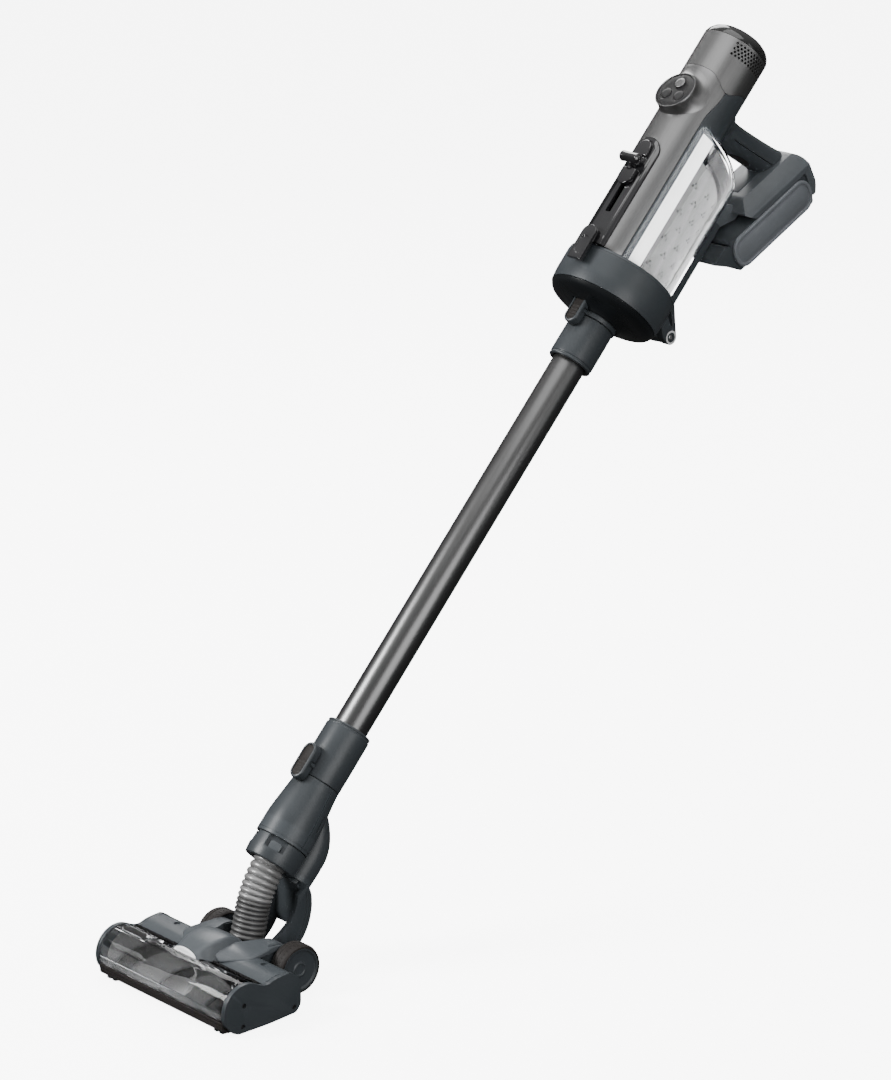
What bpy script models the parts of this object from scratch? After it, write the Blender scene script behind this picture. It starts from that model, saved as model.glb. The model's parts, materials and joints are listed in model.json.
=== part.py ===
"""Cordless stick vacuum with a motorised floor head, a rigid wand and a hand-held power unit.

The head stands flat on the floor, +X to its right and +Y to its back, and the wand leans back
over +Y. Lengths in this file are millimetres; MM turns them into metres when a mesh is made.
Design y is measured from the head's two front feet; the model's origin is REST_Y
behind them, under the middle of the glide strip that the head rests on.
"""
import math

import bmesh
import bpy
from mathutils import Matrix, Vector

MM = 0.001
REST_Y = 41.0                        # from the front feet to the model's origin
GAP = 0.3                            # clearance between pieces that touch

# ---- pose of the wand -------------------------------------------------------------------
LEAN = math.radians(42.6)            # wand from the vertical
WAND_FOOT_Y = 20.5                   # the wand's axis meets the floor here

# ---- power unit, in wand coordinates: x, y to the back, z along the wand -------------------
MOTOR_Y = -27.0                      # axis of the motor tube
MOTOR_R = 35.5
TUBE_WALL = 2.0
BIN_R = 53.5                         # dust bin, on the wand's axis
BIN_WALL = 1.8
LID_R = 60.0
LID_TOP = 836.0
LID_LOW = 797.0
BIN_TOP = 985.0                      # height of the slanted bin top on the wand's axis
BIN_SLOPE = -0.36                    # the bin top falls towards the back
SEAM_Z = 1050.0
CAP_Z = 1092.5
TOP_Z = 1110.0
GRIP_Z = 1018.4                      # height of the grip's axis at y = 0
GRIP_RISE = 0.2025                   # the grip climbs towards the back
HINGE_Y = 90.0
HINGE_Z = 822.0
BATTERY_AT = (92.0, 975.0)           # reference point of the battery in the wand's y, z plane
BATTERY_TILT = math.radians(19.7)    # its long side leans out from the wand
BATTERY_LONG = (-50.0, 72.0)
BATTERY_DEEP = (-2.5, 32.5)
BATTERY_HALF = 38.0

# ---- wand ---------------------------------------------------------------------------------
WAND_R = 17.5
UPPER_SEAM = 775.6
UPPER_RIM = 729.0
LOWER_RIM = 303.0
LOWER_SEAM = 241.0
CUFF_R = 23.4
RELEASE_OUT = 33.5                   # outer face of the release levers, from the wand's axis
PIVOT_Y = -30.0                      # where the release levers rock on their cuffs
UPPER_PIVOT = 778.0
LOWER_PIVOT = 250.0
NECK_EDGE = 173.0
COLLAR_LOW = 149.0
COLLAR_R = 27.6
LOBE_Y = 41.0                        # steering axis behind the wand's axis
HUB_R = 12.0

# ---- floor head, in world coordinates --------------------------------------------------------
HEAD_HALF = 99.0
BRUSH_Y = 11.0
BRUSH_Z = 23.5
WINDOW_R = 25.5
PLUSH_R = 22.5
AXLE_Y = 106.0
WHEEL_R = 25.0
WHEEL_IN = 46.5
WHEEL_OUT = 65.5
HOSE_R = 17.0

SIDES = 28

# ---- colours: red, green, blue, roughness, metallic ----------------------------------------
SLATE = (0.045, 0.055, 0.062, 0.42, 0.0)
SLATE_LIGHT = (0.115, 0.125, 0.135, 0.40, 0.0)
SILVER = (0.42, 0.42, 0.42, 0.32, 0.9)
GUNMETAL = (0.24, 0.24, 0.24, 0.30, 0.95)
BLACK = (0.010, 0.010, 0.011, 0.18, 0.0)
CLEAR = (0.80, 0.80, 0.80, 0.08, 0.0)
POD_GREY = (0.45, 0.45, 0.45, 0.70, 0.0)
RUBBER = (0.035, 0.030, 0.028, 0.65, 0.0)
BRISTLE = (0.50, 0.50, 0.50, 0.80, 0.0)
WHITE = (0.90, 0.90, 0.88, 0.35, 0.0)
FOAM = (0.025, 0.025, 0.027, 0.95, 0.0)
COPPER = (0.55, 0.30, 0.16, 0.35, 0.9)

# buttons on the control pod: name, place on its face, paint
BUTTONS = (("power_button", 0.0, 8.0, SILVER), ("mode_button_left", -7.6, -5.0, BLACK),
           ("mode_button_right", 7.6, -5.0, BLACK))


# ============================================================================================
# frames and objects
# ============================================================================================
def clear_scene():
    for obj in list(bpy.data.objects):
        bpy.data.objects.remove(obj, do_unlink=True)


def frame(name, at=(0.0, 0.0, 0.0), parent=None, lean=0.0):
    """An empty at a point of the design, in millimetres.

    Shapes are drawn in world or wand coordinates, and `place` moves them to their frame, so a
    frame that leans is itself the origin of the shapes under it.
    """
    empty = bpy.data.objects.new(name, None)
    bpy.context.scene.collection.objects.link(empty)
    empty.parent = parent
    shift = Vector((0, 0, 0)) if parent else Vector((0, REST_Y, 0))
    empty.location = (Vector(at) - shift) * MM
    empty.rotation_euler = (-lean, 0.0, 0.0)
    empty["design_origin"] = (0.0, 0.0, 0.0) if lean else at
    return empty


def finish_of(name, paint):
    material = bpy.data.materials.new(name + "_finish")
    material.use_nodes = True
    shader = material.node_tree.nodes["Principled BSDF"]
    red, green, blue, roughness, metallic = paint
    shader.inputs["Base Color"].default_value = (red, green, blue, 1.0)
    shader.inputs["Roughness"].default_value = roughness
    shader.inputs["Metallic"].default_value = metallic
    material.diffuse_color = (red, green, blue, 1.0)
    return material


def place(name, bm, parent, paint=None):
    """Turn a bmesh in design millimetres into an object under its frame."""
    origin = Vector(parent["design_origin"])
    bmesh.ops.recalc_face_normals(bm, faces=bm.faces)
    bm.transform(Matrix.Scale(MM, 4) @ Matrix.Translation(-origin))
    mesh = bpy.data.meshes.new(name)
    bm.to_mesh(mesh)
    bm.free()
    obj = bpy.data.objects.new(name, mesh)
    bpy.context.scene.collection.objects.link(obj)
    obj.parent = parent
    if paint is not None:
        mesh.materials.append(finish_of(name, paint))
        mesh.shade_smooth()
        mesh.set_sharp_from_angle(angle=math.radians(35))
    return obj


def boolean(obj, bm, operation):
    tool = place(obj.name + "_" + operation.lower(), bm, obj.parent)
    tool.hide_render = True
    tool.display_type = 'WIRE'
    modifier = obj.modifiers.new(operation.title(), 'BOOLEAN')
    modifier.operation = operation
    modifier.solver = 'EXACT'
    modifier.object = tool


def cut(obj, *shapes):
    for bm in shapes:
        boolean(obj, bm, 'DIFFERENCE')


def fuse(obj, *shapes):
    for bm in shapes:
        boolean(obj, bm, 'UNION')


# ============================================================================================
# outlines and solids
# ============================================================================================
def arc(cx, cy, radius, start, end, steps):
    """Points on an arc, angles in degrees from +u towards +v."""
    points = []
    for i in range(steps + 1):
        angle = math.radians(start + (end - start) * i / steps)
        points.append((cx + radius * math.cos(angle), cy + radius * math.sin(angle)))
    return points


def stadium(u0, u1, v0, v1, steps=5):
    """A slot outline with round ends at its two ends along v."""
    radius = (u1 - u0) / 2
    middle = (u0 + u1) / 2
    top = arc(middle, v1 - radius, radius, 0, 180, steps)
    low = arc(middle, v0 + radius, radius, 180, 360, steps)
    return top + low


def rounded_box(u0, u1, v0, v1, radius, steps=3):
    return (arc(u1 - radius, v1 - radius, radius, 0, 90, steps)
            + arc(u0 + radius, v1 - radius, radius, 90, 180, steps)
            + arc(u0 + radius, v0 + radius, radius, 180, 270, steps)
            + arc(u1 - radius, v0 + radius, radius, 270, 360, steps))


def box_outline(u0, u1, v0, v1):
    return [(u0, v0), (u1, v0), (u1, v1), (u0, v1)]


def place_point(axis, u, v, h):
    """Put outline coordinates u, v and height h on the axes: X has u=y v=z, Y has u=x v=z."""
    if axis == 'X':
        return (h, u, v)
    if axis == 'Y':
        return (u, h, v)
    return (u, v, h)


def bridge(bm, loops, closed_loop=False):
    count = len(loops[0])
    pairs = list(zip(loops, loops[1:]))
    if closed_loop:
        pairs.append((loops[-1], loops[0]))
    for first, second in pairs:
        for i in range(count):
            j = (i + 1) % count
            bm.faces.new((first[i], first[j], second[j], second[i]))


def loft(sections, bm=None):
    """A closed solid through sections, each a list of 3-D points, with flat ends."""
    bm = bm or bmesh.new()
    loops = [[bm.verts.new(point) for point in section] for section in sections]
    bridge(bm, loops)
    bm.faces.new(list(reversed(loops[0])))
    bm.faces.new(loops[-1])
    return bm


def prism(outline, low, high, axis='X'):
    return loft([[place_point(axis, u, v, h) for u, v in outline] for h in (low, high)])


def tube_loft(sections):
    """A ring of sections that closes on itself, such as outer skin, rim, inner skin."""
    bm = bmesh.new()
    loops = [[bm.verts.new(point) for point in section] for section in sections]
    bridge(bm, loops, closed_loop=True)
    return bm


def lathe(profile, centre=(0.0, 0.0), axis='Z', sides=SIDES):
    """Turn (radius, height) points; a profile that leaves the axis closes on itself."""
    bm = bmesh.new()
    loops = []
    for radius, height in profile:
        if radius == 0:
            loops.append([bm.verts.new(place_point(axis, centre[0], centre[1], height))])
            continue
        ring = []
        for i in range(sides):
            angle = 2 * math.pi * i / sides
            u = centre[0] + radius * math.cos(angle)
            v = centre[1] + radius * math.sin(angle)
            ring.append(bm.verts.new(place_point(axis, u, v, height)))
        loops.append(ring)
    pairs = list(zip(loops, loops[1:]))
    if len(loops[0]) > 1:
        pairs.append((loops[-1], loops[0]))
    for first, second in pairs:
        for i in range(sides):
            j = (i + 1) % sides
            if len(first) == 1:
                bm.faces.new((first[0], second[j], second[i]))
            elif len(second) == 1:
                bm.faces.new((first[i], first[j], second[0]))
            else:
                bm.faces.new((first[i], first[j], second[j], second[i]))
    return bm


def rod(radius, low, high, centre=(0.0, 0.0), axis='Z', sides=SIDES):
    return lathe([(0, high), (radius, high), (radius, low), (0, low)], centre, axis, sides)


def pipe(outer, inner, low, high, centre=(0.0, 0.0), axis='Z', sides=SIDES):
    profile = [(outer, high), (outer, low), (inner, low), (inner, high)]
    return lathe(profile, centre, axis, sides)


def motor_rod(radius, low, high):
    return rod(radius, low, high, (0.0, MOTOR_Y), sides=48)


def motor_arc(radius, half_angle, steps, behind=False):
    """Points on the motor tube, measured from its front line; `behind` takes the back part."""
    start, end = (-half_angle, half_angle) if not behind else (half_angle, 360 - half_angle)
    points = []
    for i in range(steps + 1):
        angle = math.radians(start + (end - start) * i / steps)
        points.append((radius * math.sin(angle), MOTOR_Y - radius * math.cos(angle)))
    return points


def shell_sector(outer, inner, half_angle, steps, low, high, behind=False):
    outline = motor_arc(outer, half_angle, steps, behind)
    outline += reversed(motor_arc(inner, half_angle, steps, behind))
    return prism(outline, low, high, 'Z')


def crescent(bin_radius, motor_radius, steps=22):
    """The bin's outline: the back of one circle and the hollow that the motor tube leaves."""
    meet = (bin_radius ** 2 - motor_radius ** 2 + MOTOR_Y ** 2) / (2 * -MOTOR_Y)
    bin_angle = math.acos(meet / bin_radius)
    motor_angle = math.acos((meet + MOTOR_Y) / motor_radius)
    points = []
    for i in range(steps + 1):
        angle = bin_angle + (2 * math.pi - 2 * bin_angle) * i / steps
        points.append((bin_radius * math.sin(angle), -bin_radius * math.cos(angle)))
    for i in range(1, steps):
        angle = -motor_angle + (-2 * math.pi + 2 * motor_angle) * i / steps
        points.append((motor_radius * math.sin(angle), MOTOR_Y - motor_radius * math.cos(angle)))
    return points


def slanted(outline, height):
    """An outline laid on a plane that falls towards the back, as the bin's top does."""
    return [(x, y, height + BIN_SLOPE * y) for x, y in outline]


def level(outline, height):
    return [(x, y, height) for x, y in outline]


def battery_point(along, out):
    """Battery coordinates, along its long side and out of its dock, as wand y, z."""
    sine, cosine = math.sin(BATTERY_TILT), math.cos(BATTERY_TILT)
    return (BATTERY_AT[0] + along * sine + out * cosine,
            BATTERY_AT[1] + along * cosine - out * sine)


def battery_outline(points):
    return [battery_point(along, out) for along, out in points]


def grip_height(y):
    return GRIP_Z + GRIP_RISE * y


def oval(y, half_x, half_z, height, sides=20):
    points = []
    for i in range(sides):
        angle = 2 * math.pi * i / sides
        points.append((half_x * math.cos(angle), y, height + half_z * math.sin(angle)))
    return points


# ============================================================================================
# power unit
# ============================================================================================
def build_motor_group(hand):
    arch = stadium(-17.7, 17.7, 780.0, 961.5, 8)
    cover = place("motor_cover", shell_sector(MOTOR_R, MOTOR_R - TUBE_WALL, 61.0, 16,
                                              LID_TOP + GAP, SEAM_Z - GAP), hand, SILVER)
    cut(cover, prism(arch, -75.0, -45.0, 'Y'))

    tray = place("motor_tray", shell_sector(MOTOR_R, MOTOR_R - TUBE_WALL, 61.6, 24,
                                            LID_TOP + GAP, SEAM_Z - GAP, True), hand, SLATE)
    shoulder = loft([slanted(crescent(BIN_R, MOTOR_R - 0.8), BIN_TOP + 0.5),
                     level(crescent(46.0, MOTOR_R - 0.8), 1004.5)])
    fuse(tray, shoulder)

    sleeve = place("exhaust_sleeve", pipe(MOTOR_R, MOTOR_R - TUBE_WALL, SEAM_Z, CAP_Z - GAP,
                                          (0, MOTOR_Y), sides=40), hand, SILVER)
    vents = bmesh.new()
    for row in range(2):
        for column in range(8):
            turn = math.radians(52 + 11 * column + 5.5 * row)
            for side in (-1, 1):
                slot = Matrix.Translation((side * MOTOR_R * math.sin(turn),
                                           MOTOR_Y - MOTOR_R * math.cos(turn), 1078 + 6 * row))
                slot = slot @ Matrix.Rotation(side * turn, 4, 'Z')
                slot = slot @ Matrix.Rotation(math.radians(45), 4, 'Y')
                bmesh.ops.create_cube(vents, size=2.6,
                                      matrix=slot @ Matrix.Diagonal((1.0, 3.0, 1.0, 1.0)))
    cut(sleeve, vents)

    dome = [(0, TOP_Z), (14, TOP_Z - 0.6), (24, TOP_Z - 3), (31, TOP_Z - 7.5),
            (35.0, TOP_Z - 14), (MOTOR_R, CAP_Z), (33.0, CAP_Z), (33.0, CAP_Z - 5),
            (30.5, CAP_Z - 5), (30.5, CAP_Z + 3), (20.0, CAP_Z + 10), (0, CAP_Z + 12)]
    place("exhaust_cap", lathe(dome, (0, MOTOR_Y), sides=40), hand, BLACK)
    place("exhaust_filter", pipe(32.6, 18.0, 1046.0, 1084.0, (0, MOTOR_Y), sides=24), hand,
          FOAM)
    place("motor_can", lathe([(8.0, 1040.0), (26.0, 1040.0), (27.0, 1036.0), (27.0, 986.0),
                              (4.0, 986.0), (4.0, 990.0), (24.0, 990.0), (24.0, 1037.0),
                              (8.0, 1037.0)], (0, MOTOR_Y), sides=24), hand, COPPER)
    board = rounded_box(-11.5, 11.5, 992.0, 1038.0, 2.0, 1)
    place("circuit_board", prism(board, MOTOR_Y - 30.4, MOTOR_Y - 28.8, 'Y'), hand,
          (0.02, 0.16, 0.07, 0.5, 0.0))


def build_impeller(parent):
    """Backward-curved blades on a hub, with the shaft that enters the motor."""
    outline = []
    blades = 9
    for i in range(blades):
        base = 2 * math.pi * i / blades
        for radius, turn in ((12.0, 0.10), (20.0, 0.30), (26.0, 0.62), (26.0, 0.70),
                             (20.0, 0.42), (12.0, 0.30)):
            outline.append((radius * math.cos(base + turn),
                            MOTOR_Y + radius * math.sin(base + turn)))
    fan = place("fan_impeller", prism(outline, 966.0, 978.0, 'Z'), parent, BLACK)
    fuse(fan, rod(27.0, 977.0, 980.0, (0, MOTOR_Y), sides=24),
         rod(3.0, 960.0, 1002.0, (0, MOTOR_Y), sides=12))


def build_front_channel(hand):
    arch = stadium(-17.3, 17.3, 790.0, 961.0, 8)
    track = place("channel_track", prism(arch, -70.0, -50.0, 'Y'), hand, BLACK)
    ring = lathe([(36.8, 970.0), (36.8, LID_TOP + GAP), (31.2, LID_TOP + GAP), (31.2, 970.0)],
                 (0, MOTOR_Y), sides=48)
    boolean(track, ring, 'INTERSECT')
    cut(track, prism(box_outline(-3.4, 3.4, 872.0, 944.0), -75.0, -50.0, 'Y'),
        prism(box_outline(-3.6, 3.6, LID_TOP, 846.0), -75.0, -50.0, 'Y'))


def build_slider(parent):
    knob = place("eject_slider", prism(rounded_box(-2.9, 2.9, 925.0, 935.0, 1.0, 2),
                                       -73.0, -57.0, 'Y'), parent, BLACK)
    fuse(knob, rod(4.6, -12.5, 12.5, (-74.5, 930.0), 'X', 16))


def build_latch_tab(parent):
    outline = stadium(-9.0, 9.0, 800.0, 851.0, 6)
    tab = place("lid_latch", prism(outline, -70.5, -66.0, 'Y'), parent, BLACK)
    cut(tab, prism(box_outline(-12.0, 12.0, 790.0, 812.0), -80.0, -60.0, 'Y'))
    fuse(tab, prism(box_outline(-3.0, 3.0, LID_TOP + 1.0, 844.0), -67.0, -61.0, 'Y'))


def pod_matrix():
    """The control pod's own axes: its face looks forward and a little up the wand."""
    tilt = math.radians(12)
    return Matrix.Translation((0, -69.0, 1016.0)) @ Matrix.Rotation(math.radians(90) - tilt,
                                                                    4, 'X')


def build_control_pod(hand, parents):
    turn = pod_matrix()
    cup = lathe([(0, 0.0), (20.2, 0.0), (19.4, -3.0), (18.6, -24.0), (0, -24.0)], sides=32)
    cup.transform(turn)
    pod = place("control_pod", cup, hand, SLATE_LIGHT)
    recess = lathe([(0, 5.0), (18.7, 5.0), (18.7, -1.9), (16.8, -1.9), (16.8, -7.5), (0, -7.5)],
                   sides=32)
    recess.transform(turn)
    cut(pod, recess, motor_rod(MOTOR_R + GAP, 960.0, 1070.0))

    face = rod(18.4, -1.6, -0.1, sides=32)
    face.transform(turn)
    plate = place("control_face", face, hand, BLACK)
    radius = 5.2
    for name, x, y, paint in BUTTONS:
        hole = rod(radius + 0.35, -5.0, 3.0, (x, y), sides=20)
        hole.transform(turn)
        cut(plate, hole)
        key = lathe([(0, 1.3), (radius - 0.8, 1.3), (radius, 0.6), (radius, -1.9), (0, -1.9)],
                    (x, y), sides=20)
        key.transform(turn)
        place(name, key, parents[name], paint)


def build_bin(hand):
    outer = crescent(BIN_R, MOTOR_R + 0.5)
    inner = crescent(BIN_R - BIN_WALL, MOTOR_R + 0.5 + BIN_WALL)
    place("bin_shell", loft([slanted(outer, BIN_TOP), level(outer, LID_TOP + GAP),
                             level(inner, LID_TOP + GAP), slanted(inner, BIN_TOP - 2.0)]),
          hand, CLEAR)
    pod = crescent(BIN_R - 5.0, MOTOR_R + 5.0)
    place("dust_pod", loft([level(pod, 842.0), slanted(pod, 960.0)]), hand, POD_GREY)
    media = crescent(BIN_R - 6.5, MOTOR_R + 6.5, 18)
    place("pre_motor_filter", loft([slanted(media, 961.5), slanted(media, 979.0)]), hand,
          FOAM)


def build_handle(hand):
    sections = []
    for y, half_x, half_z in ((7.0, 20.5, 16.4), (18.0, 19.0, 16.6), (30.0, 17.2, 16.0),
                              (58.0, 16.6, 15.8), (84.0, 17.4, 16.2), (97.0, 18.0, 16.6)):
        sections.append(oval(y, half_x, half_z, grip_height(y) + (2.8 if y < 10 else 0.0)))
    grip = place("handle_grip", loft(sections), hand, SLATE)
    end = battery_outline([(20.0, -24.3), (130.0, -24.3), (130.0, 40.0), (20.0, 40.0)])
    underside = loft([[(x, y, grip_height(y) - 11.0) for x, y in ((-30, 34), (30, 34))]
                      + [(30, 34, grip_height(34) - 30), (-30, 34, grip_height(34) - 30)],
                      [(x, y, grip_height(y) - 11.0) for x, y in ((-30, 74), (30, 74))]
                      + [(30, 74, grip_height(74) - 30), (-30, 74, grip_height(74) - 30)]])
    cut(grip, motor_rod(MOTOR_R + GAP, 950.0, 1090.0), prism(end, -60.0, 60.0), underside)
    pad_sections = []
    for y, half_x, half_z in ((34.4, 17.0, 15.6), (54.0, 17.0, 16.6), (73.6, 17.2, 15.8)):
        ring = []
        for i in range(13):
            angle = math.radians(228 + 84 * i / 12)
            ring.append((half_x * math.cos(angle), y, grip_height(y) + half_z * math.sin(angle)))
        pad_sections.append(ring)
    place("grip_pad", loft(pad_sections), hand, RUBBER)


def build_dock(hand):
    outline = battery_outline([(-6.0, -3.0), (-16.0, -13.0), (-4.0, -24.0), (78.0, -24.0),
                               (83.0, -16.0), (83.0, 14.0), (77.0, 25.0), (72.6, 25.0),
                               (72.6, -3.0)])
    dock = place("battery_dock", prism(outline, -36.0, 36.0), hand, SLATE_LIGHT)
    for side in (-1, 1):
        wedge = []
        for along in (-60.0, 120.0):
            corner = []
            for x, out in ((40.0, -3.6), (40.0, -30.0), (17.0, -30.0)):
                y, z = battery_point(along, out)
                corner.append((side * x, y, z))
            wedge.append(corner)
        cut(dock, loft(wedge))
    foot = [(54.4, 961.0), (54.4, 945.2), (72.0, 945.2), (84.0, 962.0), (86.0, 975.0),
            (76.0, 975.0)]
    fuse(dock, prism(foot, -12.0, 12.0))

    spine = [(54.4, 944.9), (54.4, LID_TOP + 2.0), (62.0, LID_TOP), (62.0, 828.0),
             (80.0, HINGE_Z - 6.5), (90.0, HINGE_Z - 8.0)]
    spine += arc(HINGE_Y, HINGE_Z, 8.0, -90, 60, 6)
    spine += [(70.0, 850.0), (69.6, 944.9)]
    rail = place("rear_spine", prism(spine, -14.0, 14.0), hand, SLATE)
    cut(rail, prism(box_outline(61.0, 110.0, 800.0, 834.0), -5.4, 5.4),
        rod(2.9, -16.0, 16.0, (HINGE_Y, HINGE_Z), 'X', 16))
    place("hinge_pin", rod(2.5, -13.5, 13.5, (HINGE_Y, HINGE_Z), 'X', 14), hand, GUNMETAL)


def build_battery(parent, latch_parent):
    along0, along1 = BATTERY_LONG
    out0, out1 = BATTERY_DEEP
    outline = battery_outline([(along0, out1), (along1, out1), (along1, out0),
                               (along0 + 1.0, out0)])
    outline += [(70.4, 924.0), (70.4, 901.0)]
    case = place("battery_case", prism(outline, -34.5, 34.5), parent, SLATE)
    cavity = battery_outline([(-44.0, 5.0), (66.0, 5.0), (66.0, 27.0), (-44.0, 27.0)])
    seat = battery_outline([(46.6, 29.4), (64.4, 29.4), (64.4, 40.0), (46.6, 40.0)])
    cut(case, prism(cavity, -40.0, 40.0), prism(seat, -12.4, 12.4))
    for name, side in (("battery_plate_left", -1), ("battery_plate_right", 1)):
        sections = []
        for x, inset in ((34.8, 0.0), (36.8, 0.0), (BATTERY_HALF, 1.6)):
            ring = []
            for out, along in rounded_box(out0 + inset, out1 - inset, along0 + inset,
                                          along1 - inset, 13.0 - inset, 4):
                y, z = battery_point(along, out)
                ring.append((side * x, y, z))
            sections.append(ring)
        place(name, loft(sections), parent, SLATE_LIGHT)
    pack = [battery_point(along, out) for out, along in stadium(6.4, 25.6, -42.0, 64.0, 6)]
    place("battery_cells", prism(pack, -32.5, 32.5), parent, (0.03, 0.12, 0.25, 0.4, 0.0))
    key = battery_outline([(47.0, 31.4), (64.0, 31.4), (64.0, 34.6), (47.0, 34.6)])
    place("battery_latch", prism(key, -12.0, 12.0), latch_parent, BLACK)


# ============================================================================================
# lid
# ============================================================================================
def build_lid(parent):
    bezel = place("lid_bezel", lathe([(57.5, LID_TOP), (LID_R, LID_TOP - 3), (LID_R, 806.0),
                                      (58.6, LID_LOW), (54.5, LID_LOW), (54.5, 829.5),
                                      (51.5, 832.5), (51.5, LID_TOP)], sides=44), parent, SLATE)
    ear = [(57.5, 831.0), (57.5, 812.0), (84.0, HINGE_Z - 6.6)]
    ear += arc(HINGE_Y, HINGE_Z, 7.6, -110, 90, 8) + [(84.0, 829.6)]
    fuse(bezel, prism(ear, -5.0, 5.0))
    cut(bezel, rod(2.8, -7.0, 7.0, (HINGE_Y, HINGE_Z), 'X', 16))
    bowl = [(58.5, LID_LOW - GAP), (55.5, 792.5), (49.5, 789.6), (38.0, 786.8), (29.0, 783.0),
            (26.6, 780.4), (24.7, 780.4), (24.7, 784.6), (37.5, 789.2), (48.8, 792.0),
            (53.4, 794.2), (54.0, 796.7)]
    nose = place("lid_nose", lathe(bowl, sides=40), parent, SLATE_LIGHT)
    cut(nose, prism(stadium(-9.4, 9.4, 750.0, 797.6, 6), -35.2, -20.0, 'Y'))
    place("lid_seal", pipe(50.9, 47.6, 830.5, LID_TOP, sides=32), parent, RUBBER)
    collar = place("inlet_collar", lathe([(21.8, 812.0), (24.3, 808.0), (24.3, UPPER_SEAM + 0.4),
                                          (19.4, UPPER_SEAM + 0.4), (19.4, 812.0)], sides=32),
                   parent, SLATE)
    fuse(collar, fulcrum(UPPER_PIVOT))


def fulcrum(height):
    """The block on a cuff that a release lever rocks on."""
    block = rounded_box(-8.6, 8.6, height - 2.0, height + 2.0, 1.0, 1)
    return prism(block, -29.0, -22.5, 'Y')


def build_release(name, parent, z_low, z_high, pivot_z, rib_z):
    """A release lever: a long rounded key with finger ribs, standing off its cuff."""
    key = prism(stadium(-8.8, 8.8, z_low, z_high, 6), -RELEASE_OUT, -CUFF_R - 1.2, 'Y')
    lever = place(name, key, parent, BLACK)
    ribs = bmesh.new()
    for i in range(3):
        bmesh.ops.create_cube(ribs, size=1.0,
                              matrix=Matrix.Translation((0, -RELEASE_OUT, rib_z + 6.0 * i))
                              @ Matrix.Diagonal((9.0, 1.6, 1.6, 1.0)))
    pocket = box_outline(-9.6, 9.6, pivot_z - 2.6, pivot_z + 2.6)
    cut(lever, ribs, prism(pocket, -29.4, -20.0, 'Y'))


# ============================================================================================
# wand and neck
# ============================================================================================
def build_wand(parent):
    place("wand_tube", pipe(WAND_R, WAND_R - 1.2, 285.0, 757.0, sides=32), parent, GUNMETAL)
    top = [(19.1, 800.0), (19.1, UPPER_SEAM), (23.2, UPPER_SEAM), (23.2, UPPER_RIM + 5),
           (22.0, UPPER_RIM), (17.8, UPPER_RIM), (17.8, 757.4), (16.0, 757.4), (16.0, 800.0)]
    place("wand_top_cuff", lathe(top, sides=32), parent, SLATE)
    low = [(22.2, LOWER_RIM), (CUFF_R, LOWER_RIM - 3), (CUFF_R, LOWER_SEAM + 0.3),
           (20.4, LOWER_SEAM + 0.3), (20.4, 282.0), (16.3, 282.0), (16.3, 284.7),
           (17.8, 284.7), (17.8, LOWER_RIM)]
    cuff = place("wand_lower_cuff", lathe(low, sides=32), parent, SLATE)
    fuse(cuff, fulcrum(LOWER_PIVOT))


def build_neck(neck):
    skin = [(20.1, 281.0), (20.1, LOWER_SEAM), (23.4, LOWER_SEAM), (24.6, 228.0), (26.6, 210.0),
            (28.0, 195.0), (28.0, NECK_EDGE), (24.6, NECK_EDGE), (24.6, 200.0), (21.0, 222.0),
            (18.2, 240.0), (18.2, 281.0)]
    shell = place("neck_shell", lathe(skin, sides=36), neck, SLATE)
    lobe = []
    for height, radius, y in ((152.5, 16.2, LOBE_Y), (186.0, 16.6, LOBE_Y - 1.0),
                              (204.0, 15.0, LOBE_Y - 8.0), (222.0, 10.0, LOBE_Y - 19.0)):
        lobe.append([(radius * math.cos(2 * math.pi * i / 24),
                      y + radius * math.sin(2 * math.pi * i / 24), height) for i in range(24)])
    fuse(shell, loft(lobe))
    cut(shell, rod(COLLAR_R + 0.35, 140.0, NECK_EDGE, sides=36),
        rod(24.6, 172.0, 201.0, sides=36), rod(17.9, 200.0, 240.0, sides=36),
        rod(HUB_R + 0.5, 140.0, 186.4, (0, LOBE_Y), sides=24),
        rod(4.3, 180.0, 196.0, (0, LOBE_Y), sides=16))
    ring = [(24.2, 186.0), (24.2, NECK_EDGE - GAP), (COLLAR_R, NECK_EDGE - GAP),
            (COLLAR_R - 0.6, COLLAR_LOW), (18.2, COLLAR_LOW), (18.2, 186.0)]
    place("neck_collar", lathe(ring, sides=36), neck, SLATE)
    place("steering_pin", rod(4.0, 158.0, 195.5, (0, LOBE_Y), sides=16), neck, GUNMETAL)


def to_world(y, z):
    """Wand y, z to world y, z, in millimetres."""
    return (WAND_FOOT_Y + y * math.cos(LEAN) + z * math.sin(LEAN),
            -y * math.sin(LEAN) + z * math.cos(LEAN))


def build_hose(parent):
    """A smooth tube from the neck collar to the head's socket; a cubic gives its centre line."""
    start = Vector((0, *to_world(0.0, 163.0)))
    end = Vector((0, 91.0, 35.0))
    pull_start = Vector((0, -math.sin(LEAN), -math.cos(LEAN))) * 48.0
    pull_end = Vector((0, 0.30, 0.95)) * 40.0
    count = 11
    outer, inner = [], []
    for i in range(count + 1):
        t = i / count
        a, b, c, d = (1 - t) ** 3, 3 * t * (1 - t) ** 2, 3 * t * t * (1 - t), t ** 3
        centre = a * start + b * (start + pull_start) + c * (end + pull_end) + d * end
        slope = ((1 - t) ** 2 * pull_start + 2 * t * (1 - t) * (end + pull_end - start - pull_start)
                 - t * t * pull_end)
        along = slope.normalized()
        side = Vector((1, 0, 0))
        up = along.cross(side)
        for radius, rings in ((HOSE_R, outer), (HOSE_R - 2.5, inner)):
            rings.append([centre + radius * (side * math.cos(2 * math.pi * k / 20)
                                             + up * math.sin(2 * math.pi * k / 20))
                          for k in range(20)])
    place("hose", tube_loft(outer + list(reversed(inner))), parent, (0.25, 0.25, 0.25, 0.4, 0.3))


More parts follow.
